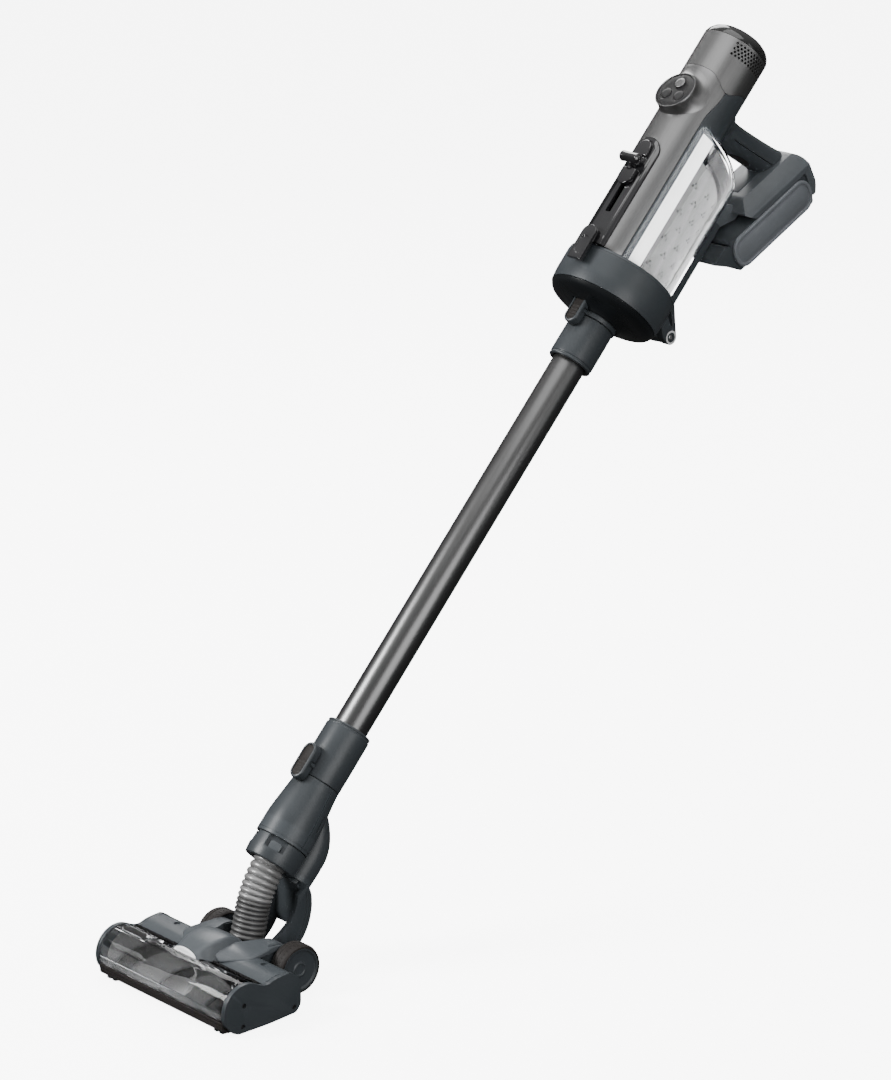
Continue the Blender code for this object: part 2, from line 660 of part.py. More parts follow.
def build_yoke(parent):
    """A wide curved arm behind the hose; its two prongs meet the head at the wheel axle."""
    back = [(150.0, 88.0), (155.0, 78.0), (155.5, 64.0), (152.0, 49.0), (144.5, 35.5),
            (133.0, 24.0), (119.0, 15.5)]
    front = arc(AXLE_Y, 25.0, 11.5, -50, -220, 6)
    inner = [(103.5, 40.0), (116.0, 47.0), (127.0, 55.0), (134.5, 66.0), (137.5, 80.0)]
    arm = place("yoke_arm", prism(back + front + inner, -24.6, 24.6), parent, SLATE)
    throat = [(60.0, 0.0), (121.0, 0.0), (124.0, 30.0), (132.0, 44.0), (141.0, 60.0),
              (143.5, 76.0), (141.0, 110.0), (60.0, 110.0)]
    cut(arm, prism(throat, -19.4, 19.4))
    hub = lathe([(0, 185.8), (HUB_R, 185.8), (HUB_R, 147.0), (10.0, 141.0), (0, 141.0)],
                (0, LOBE_Y), sides=24)
    bore = rod(4.4, 157.0, 190.0, (0, LOBE_Y), sides=16)
    for shape in (hub, bore):
        shape.transform(Matrix.Translation((0, WAND_FOOT_Y, 0)) @ Matrix.Rotation(-LEAN, 4, 'X'))
    bridge_outline = [to_world(29.5, 148.0), to_world(52.5, 148.0), to_world(60.0, 132.0),
                      to_world(48.0, 120.0), to_world(33.0, 130.0)]
    fuse(arm, hub, prism(bridge_outline, -16.0, 16.0))
    cut(arm, bore)
    for side in (-1, 1):
        cut(arm, rod(4.3, side * 15.0, side * 30.0, (AXLE_Y, 25.0), 'X', 16))


# ============================================================================================
# floor head
# ============================================================================================
def end_cap_outline():
    return ([(2.0, 1.0), (-6.0, 5.0)] + arc(BRUSH_Y, BRUSH_Z, WINDOW_R + 0.5, 205, 62, 9)
            + [(36.0, 40.5), (50.0, 45.0)] + arc(60.0, 28.0, 18.0, 75, 0, 5)
            + [(78.0, 10.0), (72.0, 3.0), (40.0, 1.0)])


def build_head_shells(head):
    for name, side in (("end_cap_left", -1), ("end_cap_right", 1)):
        cap = place(name, prism(end_cap_outline(), side * 94.2, side * HEAD_HALF), head, SLATE)
        cut(cap, rod(4.4, side * 90.0, side * 96.5, (BRUSH_Y, BRUSH_Z), 'X', 16))

    base_outline = [(34.0, 3.0), (34.0, 22.0), (36.0, 22.0), (36.0, 6.0), (74.0, 6.0),
                    (74.0, 24.0), (76.0, 24.0), (76.0, 8.0), (72.0, 3.0)]
    base = place("head_base", prism(base_outline, -93.8, 93.8), head, SLATE)
    strut = [(72.0, 3.4), (72.0, 23.6), (75.0, 24.0), (75.0, 46.0), (86.0, 49.5), (98.0, 48.0)]
    strut += arc(AXLE_Y, 25.0, 15.0, 75, -60, 8) + [(92.0, 8.0)]
    for side in (-1, 1):
        low, high = sorted((side * 26.0, side * 44.5))
        fuse(base, prism(strut, low, high))
        fuse(base, rod(4.0, *sorted((side * 19.8, side * 30.0)), (AXLE_Y, 25.0), 'X', 16))
        cut(base, rod(3.4, *sorted((side * 36.0, side * 50.0)), (AXLE_Y, 25.0), 'X', 16))

    skin = [(34.0, 22.4), (34.0, 39.6), (37.0, 41.0), (50.0, 45.4)]
    skin += arc(60.0, 28.0, 17.6, 75, 0, 5) + [(77.6, 24.4)]
    inside = [(75.4, 24.4)] + arc(60.0, 28.0, 15.4, 0, 75, 5)
    inside += [(50.6, 43.0), (38.4, 39.0), (36.2, 37.8), (36.2, 22.4)]
    cover = place("head_cover", prism(skin + inside, -93.8, 93.8), head, SLATE)
    belt_slot = box_outline(30.0, 40.0, 12.8, 34.8)
    cut(base, prism(belt_slot, -92.2, -84.0))
    cut(cover, prism(belt_slot, -92.2, -84.0))
    duct = []
    for y, half, top in ((18.0, 25.0, 50.0), (34.0, 26.0, 59.0), (52.0, 25.0, 61.0),
                         (68.0, 22.5, 55.0), (74.0, 21.5, 50.0)):
        low = 46.2 if y < 20 else 40.8
        shoulder = top - 0.36 * (top - low)
        duct.append([(-half, y, low), (half, y, low), (half * 0.86, y, shoulder),
                     (half * 0.55, y, top - 0.8), (0, y, top), (-half * 0.55, y, top - 0.8),
                     (-half * 0.86, y, shoulder)])
    cut(cover, prism(box_outline(-27.0, 27.0, 30.0, 79.0), 24.0, 60.0, 'Z'))
    for low, high in ((-44.8, -25.7), (25.7, 44.8)):
        cut(cover, prism(box_outline(74.7, 80.0, 20.0, 48.0), low, high))
    saddle = place("duct_cover", loft(duct), head, SLATE_LIGHT)
    passage = []
    for y, half, top in ((31.2, 22.0, 56.0), (52.0, 21.5, 58.6), (80.0, 18.5, 50.0)):
        passage.append([(-half, y, 20.0), (half, y, 20.0), (half * 0.86, y, top - 8),
                        (0, y, top - 2.4), (-half * 0.86, y, top - 8)])
    cut(saddle, loft(passage))


def build_head_small(head, window_parent, latch_parent):
    window = arc(BRUSH_Y, BRUSH_Z, WINDOW_R, 196, 34, 14)
    window += arc(BRUSH_Y, BRUSH_Z, WINDOW_R - 1.8, 34, 196, 14)
    pane = place("brush_window", prism(window, -93.4, 93.4), window_parent, CLEAR)
    cut(pane, prism(box_outline(-27.0, 27.0, 14.8, 40.0), 30.0, 60.0, 'Z'),
        prism(box_outline(-78.2, -44.0, 12.0, 40.0), 30.0, 60.0, 'Z'))
    catch = arc(BRUSH_Y, BRUSH_Z, WINDOW_R - 0.1, 86, 46, 4)
    catch += arc(BRUSH_Y, BRUSH_Z, WINDOW_R - 2.2, 46, 86, 4)
    place("window_catch", prism(catch, -73.6, -44.4), latch_parent, CLEAR)

    lens = [(x, 46.2 + 0.44 * z) for x, z in arc(0, 0, 16.5, 0, 180, 12)]
    place("headlight", prism(lens, 15.4, 17.6, 'Y'), head, WHITE)
    bumper = [(-2.0, 3.0), (-6.0, 3.0), (-14.0, 6.0), (-14.5, 15.6)]
    bumper += arc(BRUSH_Y, BRUSH_Z, PLUSH_R + 0.7, 200, 238, 4)
    place("bumper_strip", prism(bumper, -93.8, 93.8), head, RUBBER)
    glide = box_outline(REST_Y - 5.0, REST_Y + 5.0, 0.0, 2.7)
    place("glide_strip", prism(glide, -80.0, 80.0), head, BRISTLE)
    place("brush_motor", rod(11.5, -80.0, -32.0, (54.0, 24.0), 'X', 20), head, GUNMETAL)


def build_brush(parent):
    core = [(0, 96.0), (4.0, 96.0), (4.0, 93.0), (13.0, 92.4), (13.0, -84.0), (9.0, -84.2),
            (9.0, -91.0), (4.0, -91.2), (4.0, -96.0), (0, -96.0)]
    place("brush_core", lathe(core, (BRUSH_Y, BRUSH_Z), 'X', 24), parent, BLACK)
    sleeve = [(PLUSH_R, 91.0), (PLUSH_R, -83.0), (13.3, -83.0), (13.3, 91.0)]
    place("plush_sleeve", lathe(sleeve, (BRUSH_Y, BRUSH_Z), 'X', 24), parent, BRISTLE)


def build_drive(head, pulley_parent):
    place("motor_pulley", lathe([(0, -82.0), (5.0, -82.0), (5.0, -91.5), (0, -91.5)],
                                (54.0, 24.0), 'X', 16), pulley_parent, SILVER)
    outer = arc(BRUSH_Y, BRUSH_Z, 11.2, 93, 267, 8) + arc(54.0, 24.0, 7.2, -87, 87, 6)
    inner = arc(54.0, 24.0, 5.4, 87, -87, 6) + arc(BRUSH_Y, BRUSH_Z, 9.4, 267, 93, 8)
    bm = bmesh.new()
    loops = []
    for outline, x in ((outer, -90.6), (outer, -85.4), (list(reversed(inner)), -85.4),
                       (list(reversed(inner)), -90.6)):
        loops.append([bm.verts.new((x, y, z)) for y, z in outline])
    bridge(bm, loops, closed_loop=True)
    place("drive_belt", bm, head, RUBBER)


def build_wheel(name, parent, side):
    axle_end = 36.6
    profile = [(0, WHEEL_OUT - 1.5), (17.0, WHEEL_OUT - 1.5), (19.0, WHEEL_OUT),
               (22.5, WHEEL_OUT), (WHEEL_R, WHEEL_OUT - 3), (WHEEL_R, WHEEL_IN + 3),
               (23.0, WHEEL_IN), (3.0, WHEEL_IN), (3.0, axle_end), (0, axle_end)]
    if side < 0:
        profile = [(radius, -height) for radius, height in profile]
    place(name, lathe(profile, (AXLE_Y, WHEEL_R), 'X', 40), parent, RUBBER)


# ============================================================================================
# assembly
# ============================================================================================
def main():
    clear_scene()
    wand_axis = frame("wand_frame", (0, WAND_FOOT_Y, 0), None, LEAN)

    build_motor_group(wand_axis)
    build_front_channel(wand_axis)
    build_bin(wand_axis)
    build_handle(wand_axis)
    build_dock(wand_axis)
    build_impeller(frame("impeller_axis", (0, MOTOR_Y, 970.0), wand_axis))
    build_slider(frame("slider_axis", (0, -70.0, 930.0), wand_axis))
    build_latch_tab(frame("latch_axis", (0, -66.0, 840.0), wand_axis))
    centre = pod_matrix()
    keys = {}
    for name, x, y, _ in BUTTONS:
        keys[name] = frame(name + "_axis", tuple(centre @ Vector((x, y, 0))), wand_axis)
    build_control_pod(wand_axis, keys)
    dock_point = battery_point(10.0, 15.0)
    latch_point = battery_point(55.0, 32.0)
    build_battery(frame("battery_axis", (0, *dock_point), wand_axis),
                  frame("battery_latch_axis", (0, *latch_point), wand_axis))

    lid = frame("lid_axis", (0, HINGE_Y, HINGE_Z), wand_axis)
    build_lid(lid)
    build_release("wand_release", frame("wand_release_axis", (0, PIVOT_Y, UPPER_PIVOT), wand_axis),
                  760.0, 796.0, UPPER_PIVOT, 765.0)
    build_wand(frame("wand_axis", (0, 0, 752.0), wand_axis))
    build_release("head_release", frame("head_release_axis", (0, PIVOT_Y, LOWER_PIVOT), wand_axis),
                  230.5, 270.0, LOWER_PIVOT, 254.5)
    build_neck(frame("neck_axis", (0, 0, 241.0), wand_axis))

    steer_y, steer_z = to_world(LOBE_Y, 150.0)
    build_hose(frame("hose_frame"))
    build_yoke(frame("steering_axis", (0, steer_y, steer_z)))
    head = frame("head_axis", (0, AXLE_Y, WHEEL_R))
    build_head_shells(head)
    build_head_small(head, frame("window_axis", (0, -13.0, 16.0)),
                     frame("window_catch_axis", (-59.0, 24.0, 45.0)))
    build_brush(frame("brush_axis", (0, BRUSH_Y, BRUSH_Z)))
    build_drive(head, frame("pulley_axis", (0, 54.0, 24.0)))
    build_wheel("wheel_left", frame("wheel_left_axis", (-56, AXLE_Y, WHEEL_R)), -1)
    build_wheel("wheel_right", frame("wheel_right_axis", (56, AXLE_Y, WHEEL_R)), 1)


main()
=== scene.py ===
"""Looks of the cordless stick vacuum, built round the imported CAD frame.

Shapes are drawn in millimetres, either in the wand's own axes (x, y to the back, z along the wand)
or in the head's (x, y from its front feet, z up). WAND and HEAD turn them into the frame's metres.
"""
import json
import math

import bmesh
import bpy
import numpy as np
from mathutils import Matrix, Vector


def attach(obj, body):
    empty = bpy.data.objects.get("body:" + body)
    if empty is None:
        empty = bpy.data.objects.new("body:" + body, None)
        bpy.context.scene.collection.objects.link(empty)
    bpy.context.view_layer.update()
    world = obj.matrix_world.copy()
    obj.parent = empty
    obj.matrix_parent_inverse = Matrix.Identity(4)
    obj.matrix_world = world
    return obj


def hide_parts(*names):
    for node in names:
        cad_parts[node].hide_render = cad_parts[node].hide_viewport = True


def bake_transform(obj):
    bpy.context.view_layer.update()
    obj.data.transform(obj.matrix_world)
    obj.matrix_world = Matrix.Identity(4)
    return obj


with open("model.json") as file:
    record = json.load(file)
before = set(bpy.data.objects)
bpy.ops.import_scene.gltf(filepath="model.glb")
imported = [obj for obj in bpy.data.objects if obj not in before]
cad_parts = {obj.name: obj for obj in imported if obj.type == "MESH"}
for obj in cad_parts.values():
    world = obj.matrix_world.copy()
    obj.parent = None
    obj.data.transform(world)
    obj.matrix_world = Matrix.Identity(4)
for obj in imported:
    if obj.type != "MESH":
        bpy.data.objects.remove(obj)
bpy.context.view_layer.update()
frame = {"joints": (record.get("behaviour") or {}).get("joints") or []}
joints = {joint["name"]: joint for joint in frame["joints"]}

MM = 0.001
# along the wand
MOTOR_Y = -27.0                      # axis of the motor tube
MOTOR_R = 35.5
PATCH_TOP = 1044.0                   # height to which the motor tube's side edges are read
BIN_R = 53.5
BIN_TOP = 985.0
BIN_SLOPE = -0.36                    # rise of the bin's top towards the back
LID_TOP = 836.0
HINGE = (90.0, 822.0)                # lid hinge, wand y and z
UPPER_SEAM = 775.6                   # between the lid's collar and the wand's top cuff
LOWER_SEAM = 241.0                   # between the wand's lower cuff and the neck
NECK_EDGE = 173.0                    # lower edge of the neck shell
LOBE_Y = 41.0                        # steering axis
BATTERY_AT = (92.0, 975.0)           # corner of the battery, wand y and z
BATTERY_TILT = math.radians(19.7)
POD_TILT = math.radians(8)
POD = (Matrix.Translation((0, -69.0, 1015.0)) @ Matrix.Rotation(math.radians(90) - POD_TILT, 4, 'X')
       @ Matrix.Scale(1.12, 4))
# in the head
BRUSH = (11.0, 23.5)                 # brush axis, head y and z
AXLE = (106.0, 25.0)                 # wheel axis, head y and z
HEAD_X = 93.7                        # half the head's length between its end caps
FOOT_Y = 20.5                        # where the wand's axis meets the floor, head y
WINDOW_R = 25.5
PLUSH_R = 22.5
PLUSH_PITCH = 136.0                  # length in which the pile's bands turn once
SCREWS = ((9.0, 28.0), (69.5, 9.0), (7.5, 7.2))    # on each end cap, head y and z
# on the stage
FLOOR_Z = -0.0002
FLOOR_GLOW = 6.5                     # the floor glows a little, like a photographer's paper
SKY_TOP = 0.80
SKY_LOW = 0.05
CAMERA_AZIMUTH = 48.11
CAMERA_ELEVATION = 17.56

# the wand's axes, from the lid hinge and the steering axis of the frame
steer = Vector(joints["steering"]["axis"])
LEAN = math.atan2(steer.y, steer.z)
WAND = (Matrix.Translation(joints["lid_hinge"]["pos_m"]) @ Matrix.Rotation(-LEAN, 4, 'X')
        @ Matrix.Scale(MM, 4) @ Matrix.Translation((0, -HINGE[0], -HINGE[1])))
# the head's axes, from the wheels
HEAD = (Matrix.Translation((0, joints["left_wheel_spin"]["pos_m"][1], 0))
        @ Matrix.Scale(MM, 4) @ Matrix.Translation((0, -AXLE[0], 0)))


# ---- materials ---------------------------------------------------------------------------------
def tinted(colour, factor):
    return tuple(min(1.0, channel * factor) for channel in colour)


class Nodes:
    """Short names for the shader nodes of one material."""

    def __init__(self, name):
        self.material = bpy.data.materials.new(name)
        self.material.use_nodes = True
        self.tree = self.material.node_tree
        self.shader = self.tree.nodes["Principled BSDF"]

    def add(self, kind, **values):
        node = self.tree.nodes.new(kind)
        for key, value in values.items():
            if hasattr(node, key):
                setattr(node, key, value)
            else:
                node.inputs[key.replace("_", " ").title()].default_value = value
        return node

    def link(self, source, target):
        self.tree.links.new(source, target)

    def coordinates(self, along_wand=False, stretch=(1.0, 1.0, 1.0)):
        """Object coordinates, turned into the wand's axes where the grain follows the wand."""
        turn = self.add("ShaderNodeMapping")
        turn.inputs["Rotation"].default_value = (LEAN if along_wand else 0.0, 0.0, 0.0)
        self.link(self.add("ShaderNodeTexCoord").outputs["Object"], turn.inputs["Vector"])
        scale = self.add("ShaderNodeMapping")
        scale.inputs["Scale"].default_value = stretch
        self.link(turn.outputs["Vector"], scale.inputs["Vector"])
        return scale.outputs["Vector"]

    def pointiness(self):
        return self.add("ShaderNodeNewGeometry").outputs["Pointiness"]

    def noise(self, vector, scale, detail=3.0, rough=0.5):
        node = self.add("ShaderNodeTexNoise", Scale=scale, Detail=detail, Roughness=rough)
        self.link(vector, node.inputs["Vector"])
        return node.outputs["Fac"]

    def ramp(self, value, *stops):
        """Stops are (place on the ramp, colour)."""
        node = self.add("ShaderNodeValToRGB")
        elements = node.color_ramp.elements
        while len(elements) < len(stops):
            elements.new(0.5)
        for element, (position, colour) in zip(elements, stops):
            element.position = position
            element.color = (*colour, 1.0)
        self.link(value, node.inputs["Fac"])
        return node.outputs["Color"]

    def tones(self, value, colour, *stops):
        """One colour in darker and paler tones; stops are (place on the ramp, factor)."""
        return self.ramp(value, *((place, tinted(colour, factor)) for place, factor in stops))

    def span(self, value, low, high):
        node = self.add("ShaderNodeMapRange", To_Min=low, To_Max=high)
        self.link(value, node.inputs["Value"])
        return node.outputs["Result"]

    def math(self, operation, first, second):
        node = self.add("ShaderNodeMath", operation=operation)
        for socket, value in zip(node.inputs, (first, second)):
            if isinstance(value, (int, float)):
                socket.default_value = value
            else:
                self.link(value, socket)
        return node.outputs["Value"]

    def bump(self, height, strength, distance):
        node = self.add("ShaderNodeBump", Strength=strength, Distance=distance)
        self.link(height, node.inputs["Height"])
        self.link(node.outputs["Normal"], self.shader.inputs["Normal"])

    def finish(self, base, rough, **values):
        """Link colour and roughness to the shader, set its plain values, and give the material."""
        self.link(base, self.shader.inputs["Base Color"])
        if rough is not None:
            self.link(rough, self.shader.inputs["Roughness"])
        for key, value in values.items():
            self.shader.inputs[key.replace("_", " ")].default_value = value
        return self.material


def moulded_plastic(name, colour, roughness, grain=0.25, coat=0.0):
    """Satin moulded plastic: fine spark-eroded grain, slight tone changes, paler on convex edges.
    """
    made = Nodes(name)
    place = made.coordinates()
    tone = made.noise(place, 18.0, 4.0, 0.55)
    mix = made.add("ShaderNodeMix", data_type='RGBA')
    made.link(made.ramp(made.pointiness(), (0.52, (0, 0, 0)), (0.62, (0.35, 0.35, 0.35))),
              mix.inputs["Factor"])
    made.link(made.tones(tone, colour, (0.30, 0.90), (0.70, 1.10)), mix.inputs["A"])
    mix.inputs["B"].default_value = (*tinted(colour, 1.8), 1.0)
    smudge = made.span(made.noise(place, 45.0, 5.0, 0.6), roughness - 0.06, roughness + 0.06)
    made.bump(made.noise(place, 2600.0, 2.0), grain, 0.00005)
    return made.finish(mix.outputs["Result"], smudge, Specular_IOR_Level=0.28, Coat_Weight=coat,
                       Coat_Roughness=0.12)


def satin_metal(name, colour, roughness):
    """Satin anodised metal or metallic paint with a very fine grain along the wand."""
    made = Nodes(name)
    streak = made.noise(made.coordinates(True, (900.0, 900.0, 14.0)), 1.0, 3.0, 0.6)
    cloud = made.noise(made.coordinates(True), 22.0)
    rough = made.math('ADD', made.span(streak, -0.04, 0.04),
                      made.span(cloud, roughness - 0.04, roughness + 0.04))
    made.bump(streak, 0.12, 0.00003)
    return made.finish(made.tones(streak, colour, (0.25, 0.94), (0.75, 1.06)), rough, Metallic=0.9)


def gloss_black(name):
    made = Nodes(name)
    place = made.coordinates()
    tone = made.tones(made.noise(place, 30.0), (0.012, 0.012, 0.013), (0.3, 0.8), (0.7, 1.25))
    made.bump(made.noise(place, 120.0, 2.0), 0.04, 0.0002)
    return made.finish(tone, made.span(made.noise(place, 60.0, 6.0, 0.65), 0.07, 0.16),
                       Coat_Weight=0.5, Coat_Roughness=0.04)


def clouded(name, colour, cloud, stops, roughness, grain, strength, distance, **values):
    """One noise for tone and roughness together, and a second one for the surface's bumps."""
    made = Nodes(name)
    place = made.coordinates()
    tone = made.noise(place, *cloud)
    made.bump(made.noise(place, *grain), strength, distance)
    return made.finish(made.tones(tone, colour, *stops), made.span(tone, *roughness), **values)


def clear_plastic(name, tint=(0.97, 0.975, 0.98), rough=0.0):
    return clouded(name, tint, (90.0, 6.0, 0.7), ((0.2, 0.97), (0.8, 1.0)), (rough, rough + 0.03),
                   (14.0, 2.0), 0.03, 0.0005, Transmission_Weight=1.0, IOR=1.22)


def smoked_plastic(name, tint):
    return clouded(name, tint, (80.0, 5.0, 0.65), ((0.25, 0.85), (0.75, 1.0)), (0.10, 0.15),
                   (20.0, 2.0), 0.03, 0.0004, Transmission_Weight=0.25, IOR=1.46,
                   Coat_Weight=0.15, Coat_Roughness=0.05)


def soft_rubber(name, colour, rough=0.62):
    return clouded(name, colour, (35.0, 6.0, 0.65), ((0.3, 0.85), (0.75, 1.35)),
                   (rough - 0.08, rough + 0.1), (1500.0, 3.0), 0.35, 0.00008,
                   Sheen_Weight=0.03, Sheen_Roughness=0.5, Specular_IOR_Level=0.2)


def filter_foam(name, colour):
    made = Nodes(name)
    place = made.coordinates()
    cells = made.add("ShaderNodeTexVoronoi", Scale=900.0)
    made.link(place, cells.inputs["Vector"])
    made.bump(cells.outputs["Distance"], 0.9, 0.0006)
    # the cells' sunk middles are darker: painted shade in the foam's pores
    return made.finish(made.tones(cells.outputs["Distance"], colour, (0.1, 0.4), (0.7, 1.0)),
                       made.span(made.noise(place, 60.0), 0.85, 1.0))


def ringed_plastic(name, colour, roughness):
    """Flexible hose plastic: satin, with painted shade in the valleys between its ribs and paler
    crests.
    """
    made = Nodes(name)
    place = made.coordinates()
    made.bump(made.noise(place, 900.0, 2.0), 0.15, 0.0001)
    rough = made.span(made.noise(place, 200.0, 4.0), roughness - 0.06, roughness + 0.08)
    # pointiness darkens the valleys between the ribs as painted shade, and lightens the crests
    return made.finish(made.tones(made.pointiness(), colour, (0.44, 0.35), (0.56, 1.3)), rough,
                       Metallic=0.35)


def plush(name, light, dark):
    """Dense pile on the roller with broad darker bands that wind round it."""
    made = Nodes(name)
    place = made.add("ShaderNodeTexCoord").outputs["Object"]
    split = made.add("ShaderNodeSeparateXYZ")
    made.link(place, split.inputs["Vector"])
    centre = HEAD @ Vector((0, *BRUSH))
    across = made.math('SUBTRACT', split.outputs["Y"], centre.y)
    up = made.math('SUBTRACT', split.outputs["Z"], centre.z)
    turns = made.math('MULTIPLY', made.math('ARCTAN2', up, across), 1 / math.pi)
    travel = made.math('MULTIPLY', split.outputs["X"], 2 / (PLUSH_PITCH * MM))
    stripe = made.math('FRACT', made.math('ADD', turns, travel), 0.0)
    fray = made.math('SUBTRACT', made.noise(place, 700.0, 3.0, 0.7), 0.5)
    edge = made.math('ADD', stripe, made.math('MULTIPLY', fray, 0.10))
    strands = made.noise(made.coordinates(False, (1500.0, 500.0, 500.0)), 1.0, 3.0, 0.6)
    mix = made.add("ShaderNodeMix", data_type='RGBA', blend_type='MULTIPLY')
    mix.inputs["Factor"].default_value = 0.75
    made.link(made.ramp(edge, (0.02, dark), (0.30, dark), (0.35, light), (0.90, light),
                        (0.97, dark)), mix.inputs["A"])
    made.link(made.ramp(strands, (0.3, (0.5, 0.5, 0.5)), (0.65, (1.15, 1.15, 1.15))),
              mix.inputs["B"])
    made.bump(strands, 0.8, 0.0006)
    return made.finish(mix.outputs["Result"], made.span(strands, 0.8, 1.0), Sheen_Weight=0.08,
                       Sheen_Roughness=0.4, Specular_IOR_Level=0.1)


paints = {
    "slate": moulded_plastic("slate_paint", (0.031, 0.036, 0.040), 0.38),
    "slate_light": moulded_plastic("slate_light_paint", (0.058, 0.065, 0.071), 0.36),
    "plate": moulded_plastic("plate_paint", (0.100, 0.108, 0.118), 0.36),
    # near black: painted shade for the underside of the lid's nose
    "nose": moulded_plastic("nose_shade_paint", (0.007, 0.008, 0.009), 0.28),
    "silver": satin_metal("silver_paint", (0.155, 0.155, 0.155), 0.36),
    "gunmetal": satin_metal("gunmetal_paint", (0.100, 0.100, 0.100), 0.32),
    "gloss": gloss_black("gloss_paint"),
    "panel": moulded_plastic("panel_paint", (0.006, 0.006, 0.0062), 0.42),
    "smoke": smoked_plastic("smoke_paint", (0.012, 0.012, 0.012)),
    "clear": clear_plastic("clear_paint"),
    "clear_catch": clear_plastic("catch_paint", (0.80, 0.81, 0.82), 0.08),
    "rail": clear_plastic("rail_paint", (0.62, 0.63, 0.64), 0.18),
    "grey": moulded_plastic("grey_paint", (0.42, 0.42, 0.42), 0.55),
    "pod": moulded_plastic("pod_paint", (0.105, 0.105, 0.105), 0.50),
    "brown": soft_rubber("brown_paint", (0.011, 0.009, 0.008), 0.55),
    "grey_dark": moulded_plastic("grey_dark_paint", (0.11, 0.11, 0.11), 0.45),
    "rubber": soft_rubber("rubber_paint", (0.012, 0.0100, 0.0092)),
    "lamp": moulded_plastic("lamp_paint", (0.88, 0.88, 0.88), 0.22, 0.05, 0.6),
    # for the bin's two white strips: a painted reflection
    "white": moulded_plastic("glare_white_paint", (0.85, 0.85, 0.84), 0.35),
    "steel": satin_metal("steel_paint", (0.55, 0.55, 0.55), 0.25),
    "steel_dark": satin_metal("screw_paint", (0.09, 0.09, 0.09), 0.30),
    "board": moulded_plastic("board_paint", (0.02, 0.13, 0.06), 0.45),
    "cell": moulded_plastic("cell_paint", (0.03, 0.12, 0.25), 0.35),
    "hose": ringed_plastic("hose_paint", (0.22, 0.22, 0.22), 0.34),
    # a darker copy of the hose paint, as painted shade for the hose's lower stretch
    "hose_painted_shade": ringed_plastic("hose_dark_paint", (0.075, 0.075, 0.075), 0.40),
    "plush": plush("plush_paint", (0.040, 0.040, 0.040), (0.004, 0.004, 0.004)),
    # bristle black, also used as painted shade: the pod's hole plugs and the fill in the catch's
    # slot
    "bristle": soft_rubber("bristle_paint", (0.0035, 0.0035, 0.0035), 0.6),
    "foam": filter_foam("foam_paint", (0.030, 0.030, 0.032)),
}


# ---- mesh making -------------------------------------------------------------------------------
def arc(cx, cy, radius, start, end, steps):
    """Points on an arc, angles in degrees from +u towards +v."""
    points = []
    for i in range(steps + 1):
        angle = math.radians(start + (end - start) * i / steps)
        points.append((cx + radius * math.cos(angle), cy + radius * math.sin(angle)))
    return points


def box(u0, u1, v0, v1):
    """A box outline that starts along its first axis."""
    return [(u0, v0), (u1, v0), (u1, v1), (u0, v1)]


def band(radius0, radius1, height0, height1):
    """A box outline that starts along its second axis: as a lathe profile, a plain ring."""
    return [(radius0, height0), (radius0, height1), (radius1, height1), (radius1, height0)]


def mirrored(side, near, far):
    """A stretch of x on one side of the middle, as the low and high ends of a prism."""
    return sorted((side * near, side * far))


def handed(name, side):
    return name + ("_left" if side < 0 else "_right")


def turned(degrees, axis):
    return Matrix.Rotation(math.radians(degrees), 4, axis)


def ellipse(cu, cv, half_u, half_v, steps):
    """Points on an ellipse, or on a circle where both halves are equal."""
    return [(cu + half_u * math.cos(2 * math.pi * i / steps),
             cv + half_v * math.sin(2 * math.pi * i / steps)) for i in range(steps)]


def rounding(cu, cv, radius, start, end, steps, corner):
    """An arc's points with the corner radius that fillet reads from each."""
    return [(*point, corner) for point in arc(cu, cv, radius, start, end, steps)]


def stadium(u0, u1, v0, v1, steps=16):
    """A slot outline with round ends at its two ends along v."""
    radius = (u1 - u0) / 2
    middle = (u0 + u1) / 2
    return (arc(middle, v1 - radius, radius, 0, 180, steps)
            + arc(middle, v0 + radius, radius, 180, 360, steps))


def rounded_box(u0, u1, v0, v1, radius, steps=6):
    """A box outline with round corners."""
    return (arc(u1 - radius, v1 - radius, radius, 0, 90, steps)
            + arc(u0 + radius, v1 - radius, radius, 90, 180, steps)
            + arc(u0 + radius, v0 + radius, radius, 180, 270, steps)
            + arc(u1 - radius, v0 + radius, radius, 270, 360, steps))


def fillet(points, radius, steps=4, closed=True):
    """Round an outline's corners; each corner takes at most half of its shorter side."""
    count = len(points)
    made = []
    for i, point in enumerate(points):
        if not closed and i in (0, count - 1):
            made.append(tuple(point[:2]))
            continue
        here = Vector(point[:2])
        limit = point[2] if len(point) > 2 else radius
        before = Vector(points[i - 1][:2]) - here
        after = Vector(points[(i + 1) % count][:2]) - here
        size = min(limit, before.length * 0.45, after.length * 0.45)
        start = here + before.normalized() * size
        end = here + after.normalized() * size
        for step in range(steps + 1):
            t = step / steps
            spot = start * (1 - t) ** 2 + here * 2 * t * (1 - t) + end * t * t
            made.append((spot.x, spot.y))
    return made


def place_point(axis, u, v, h):
    """Outline coordinates u, v and height h on the axes: X has u=y v=z, Y has u=x v=z."""
    if axis == 'X':
        return (h, u, v)
    if axis == 'Y':
        return (u, h, v)
    return (u, v, h)


def bridge(bm, loops, closed=False):
    """Quads from each loop to the next, and from the last to the first if closed."""
    count = len(loops[0])
    pairs = list(zip(loops, loops[1:]))
    if closed:
        pairs.append((loops[-1], loops[0]))
    for first, second in pairs:
        for i in range(count):
            j = (i + 1) % count
            bm.faces.new((first[i], first[j], second[j], second[i]))


def loft(sections):
    """A closed solid through sections, each a list of 3-D points, with flat ends."""
    bm = bmesh.new()
    loops = [[bm.verts.new(point) for point in section] for section in sections]
    bridge(bm, loops)
    bm.faces.new(list(reversed(loops[0])))
    bm.faces.new(loops[-1])
    return bm


